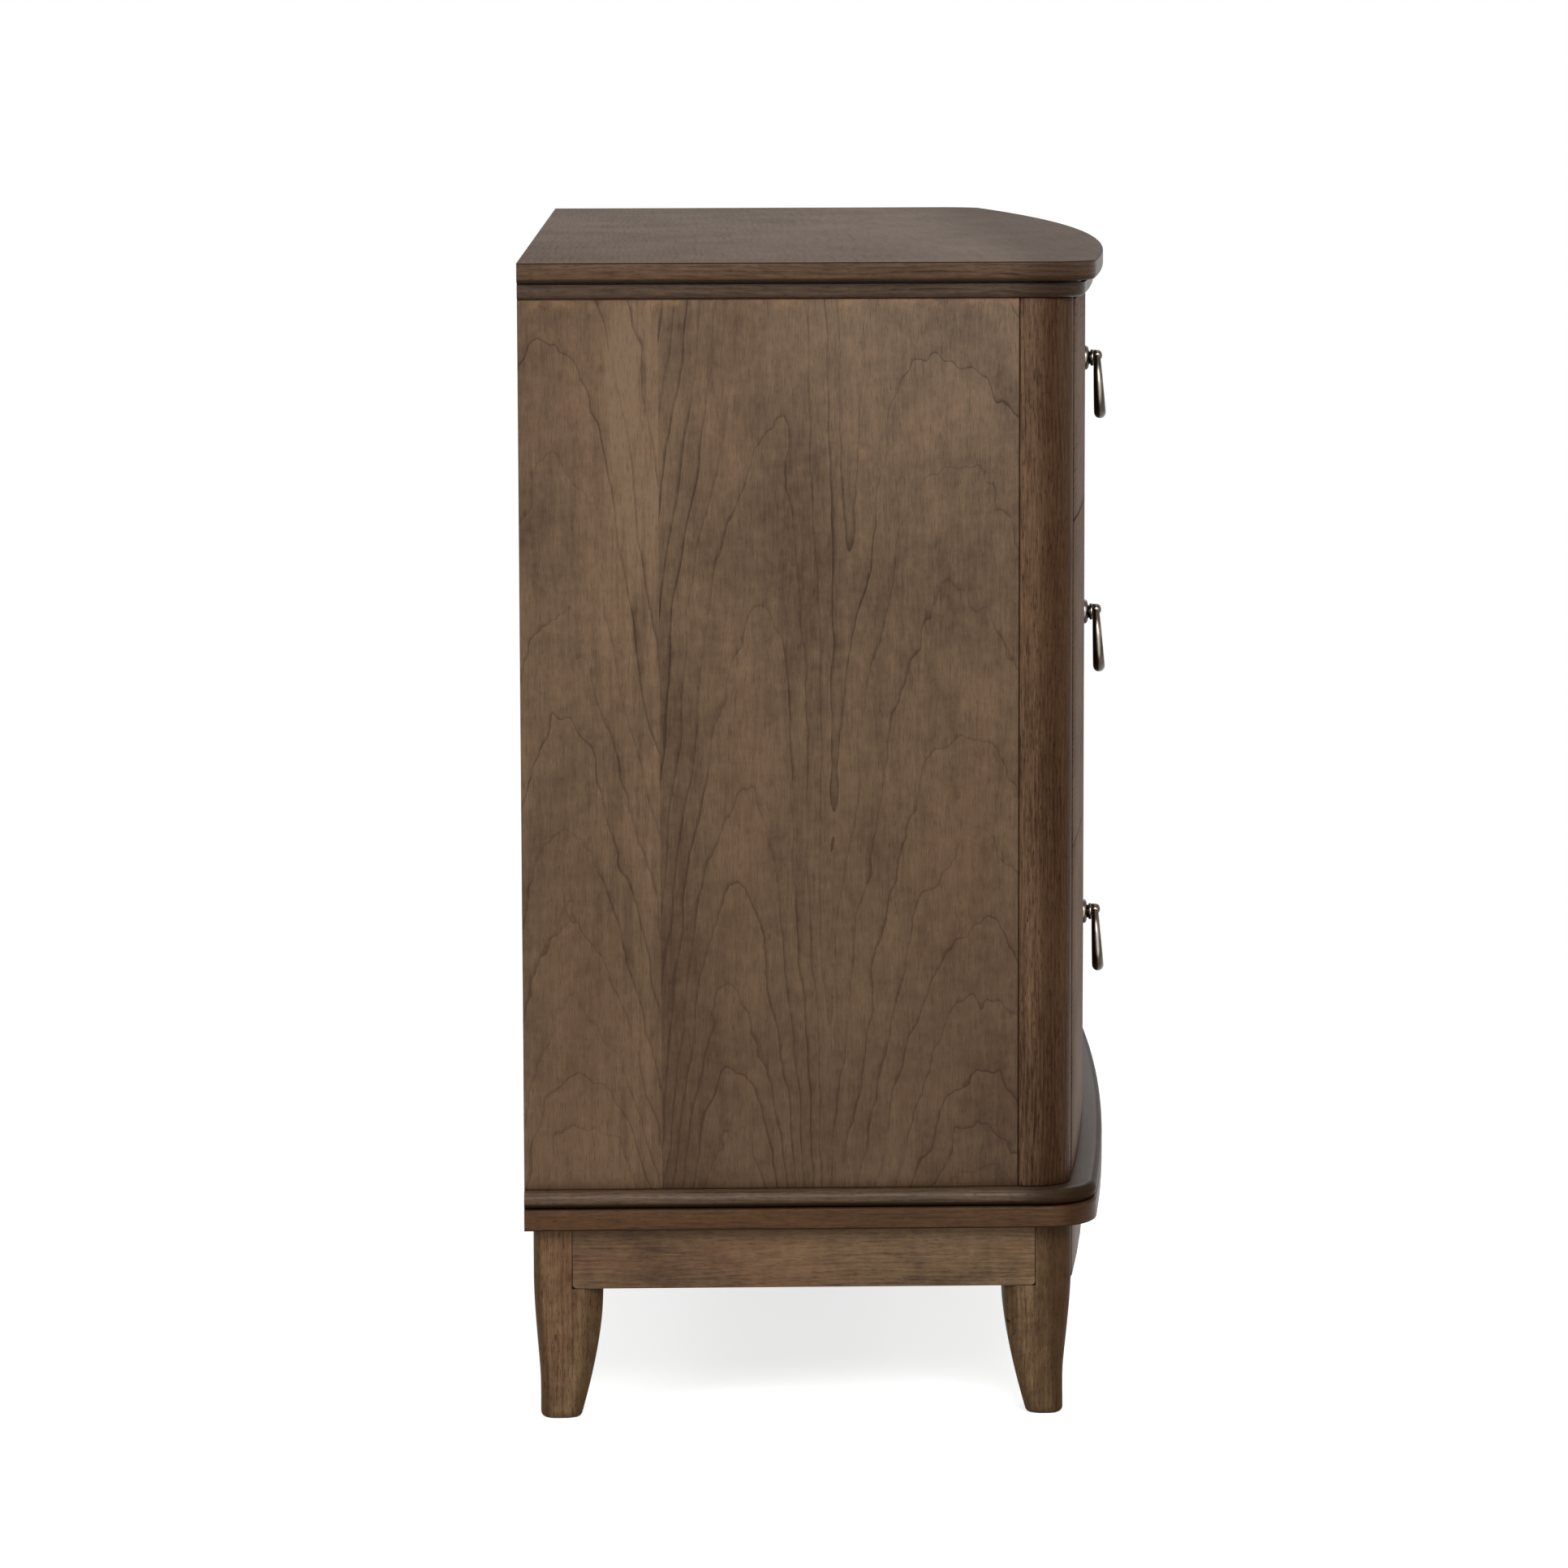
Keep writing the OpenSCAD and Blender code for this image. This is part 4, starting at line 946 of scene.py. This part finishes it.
# The fasteners. Steel pins hold the back panel, round-headed screws the braces and the middle leg's
# plate, and one screw goes through each drawer front from the inside into its pull.
steel = Finish("darkened_steel")
spot = steel.node("TexCoord")["Object"]
grime = steel.noise(spot, 800.0, 3.0, 0.6)
steel.gives("Base Color", steel.tint(grime, linear(96, 92, 86), linear(150, 146, 140)))
steel.gives("Metallic", 1.0)
steel.gives("Roughness", steel.times_plus(grime, 0.25, 0.25))
steel.relief(grime, 0.00002)


def headed_fastener():
    """A node tree that stands a headed fastener on each point, along the way that the point faces."""
    group = bpy.data.node_groups.new("headed_fastener", "GeometryNodeTree")
    group.interface.new_socket("Places", in_out="INPUT", socket_type="NodeSocketGeometry")
    for label in ("Head Radius", "Head Height", "Shank Radius", "Shank Length"):
        group.interface.new_socket(label, in_out="INPUT", socket_type="NodeSocketFloat")
    group.interface.new_socket("Sides", in_out="INPUT", socket_type="NodeSocketInt")
    group.interface.new_socket("Fasteners", in_out="OUTPUT", socket_type="NodeSocketGeometry")

    tree = Nodes(group)
    sizes = tree.add("NodeGroupInput")
    height = sizes["Head Height"]
    head = tree.add("GeometryNodeMeshCylinder", ("Vertices", sizes["Sides"]),
                    ("Radius", sizes["Head Radius"]), ("Depth", tree.times(height, 0.8)), fill_type="NGON")
    mesh, face = head["Mesh"], head["Top"]
    for rise, share in ((0.35, 0.86), (0.22, 0.72), (0.0, 0.55), (-0.5, 0.8)):
        pulled = tree.add("GeometryNodeExtrudeMesh", ("Mesh", mesh), ("Selection", face),
                          ("Offset Scale", tree.times(height, rise)), mode="FACES")
        mesh, face = pulled["Mesh"], pulled["Top"]
        mesh = tree.add("GeometryNodeScaleElements", ("Geometry", mesh), ("Selection", face),
                        ("Scale", share))[0]
    shank = tree.add("GeometryNodeMeshCylinder", ("Vertices", sizes["Sides"]),
                     ("Radius", sizes["Shank Radius"]), ("Depth", sizes["Shank Length"]),
                     fill_type="NGON")["Mesh"]
    sunk = tree.node("CombineXYZ", (2, tree.times(sizes["Shank Length"], -0.5)))[0]
    shank = tree.add("GeometryNodeTransform", ("Geometry", shank), ("Translation", sunk))[0]
    whole = tree.add("GeometryNodeJoinGeometry", (0, mesh), (0, shank))[0]
    facing = tree.add("GeometryNodeInputNamedAttribute", ("Name", "facing"), data_type="FLOAT_VECTOR")[0]
    upright = tree.add("FunctionNodeAlignRotationToVector", ("Vector", facing), axis="Z")[0]
    turn = tree.add("FunctionNodeRandomValue", ("Min", (0, 0, 0)), ("Max", (0, 0, 6.28)), ("Seed", 5),
                    data_type="FLOAT_VECTOR")[0]
    turned = tree.add("FunctionNodeRotateRotation", ("Rotation", upright), ("Rotate By", turn),
                      rotation_space="LOCAL")[0]
    stood = tree.add("GeometryNodeInstanceOnPoints", ("Points", sizes["Places"]), ("Instance", whole),
                     ("Rotation", turned))[0]
    real = tree.add("GeometryNodeRealizeInstances", ("Geometry", stood))[0]
    coated = tree.add("GeometryNodeSetMaterial", ("Geometry", real), ("Material", steel.material))[0]
    tree.add("NodeGroupOutput", (0, coated))
    return group


fastener_tree = headed_fastener()


def fasteners(name, spots, body, **sizes):
    """One piece with a fastener at each (place, way that its head faces), riding on a body."""
    points = bpy.data.meshes.new(name)
    points.from_pydata([place for place, way in spots], [], [])
    facing = points.attributes.new("facing", "FLOAT_VECTOR", "POINT")
    for k, (place, way) in enumerate(spots):
        facing.data[k].vector = way
    holder = new_object(name + "_places", points)
    stands = holder.modifiers.new("stands", "NODES")
    stands.node_group = fastener_tree
    for item in fastener_tree.interface.items_tree:
        label = item.name.lower().replace(" ", "_")
        if label in sizes:
            stands[item.identifier] = sizes[label]
    piece = shaped(holder, name, 30)
    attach(piece, body)


PIN_SIZES = {"head_radius": 0.0022, "head_height": 0.0007, "shank_radius": 0.0007,
             "shank_length": 0.004, "sides": 10}
SCREW_SIZES = {"head_radius": 0.0042, "head_height": 0.0024, "shank_radius": 0.0016,
               "shank_length": 0.012, "sides": 18}
BACK_HALF = 0.803
BACK_FACE = BACK - 0.003
pin_inset = 0.007
low_pins, high_pins = BAND_Z + BAND_T + BEAD_T + pin_inset, SUB_Z - pin_inset
pin_spots = []
for k in range(15):
    x = (BACK_HALF - pin_inset) * (2 * k / 14 - 1)
    pin_spots += [(x, low_pins), (x, high_pins)]
for k in range(1, 7):
    z = low_pins + (high_pins - low_pins) * k / 7
    pin_spots += [(-BACK_HALF + pin_inset, z), (0.0, z), (BACK_HALF - pin_inset, z)]
fasteners("back_pins", [((x, BACK_FACE, z), (0, 1, 0)) for x, z in pin_spots], "case", **PIN_SIZES)

BRACE_W = 0.030
BRACE_REACH = 0.110
BRACE_Z = 0.132
PLATE_Z = 0.152
PLATE_SCREW = 0.035
reach = BRACE_REACH + BRACE_W / 2
brace_spots = []
for side in (-1, 1):
    for apron, toward in ((BACK - LEG_BACK - APRON_T, -1), (BACK - LEG_FRONT + APRON_T, 1)):
        inner = LEG_HALF - APRON_T
        near = Vector((side * inner, apron + toward * reach, BRACE_Z))
        far = Vector((side * (inner - reach), apron, BRACE_Z))
        brace_spots += [(near.lerp(far, share), (0, 0, -1)) for share in (0.14, 0.5, 0.86)]
plate_y = BACK - END_DEPTH / 2
plate_spots = [((x, plate_y + y, PLATE_Z), (0, 0, -1)) for x in (-PLATE_SCREW, PLATE_SCREW)
               for y in (-PLATE_SCREW, PLATE_SCREW)]
fasteners("base_screws", brace_spots + plate_spots, "case", **SCREW_SIZES)

FRONT_T = 0.020
for row, side in DRAWERS:
    place = pull_place(row, 1 if side == "right" else -1)
    seat = place @ Vector((0, -PIVOT_OUT - FRONT_T, -HEAD_UP))
    inward = place.to_3x3() @ Vector((0, -1, 0))
    fasteners(f"{row}_{side}_pull_screw", [(seat, inward)], f"{row}_{side}_drawer",
              **{**SCREW_SIZES, "shank_length": 0.0235})
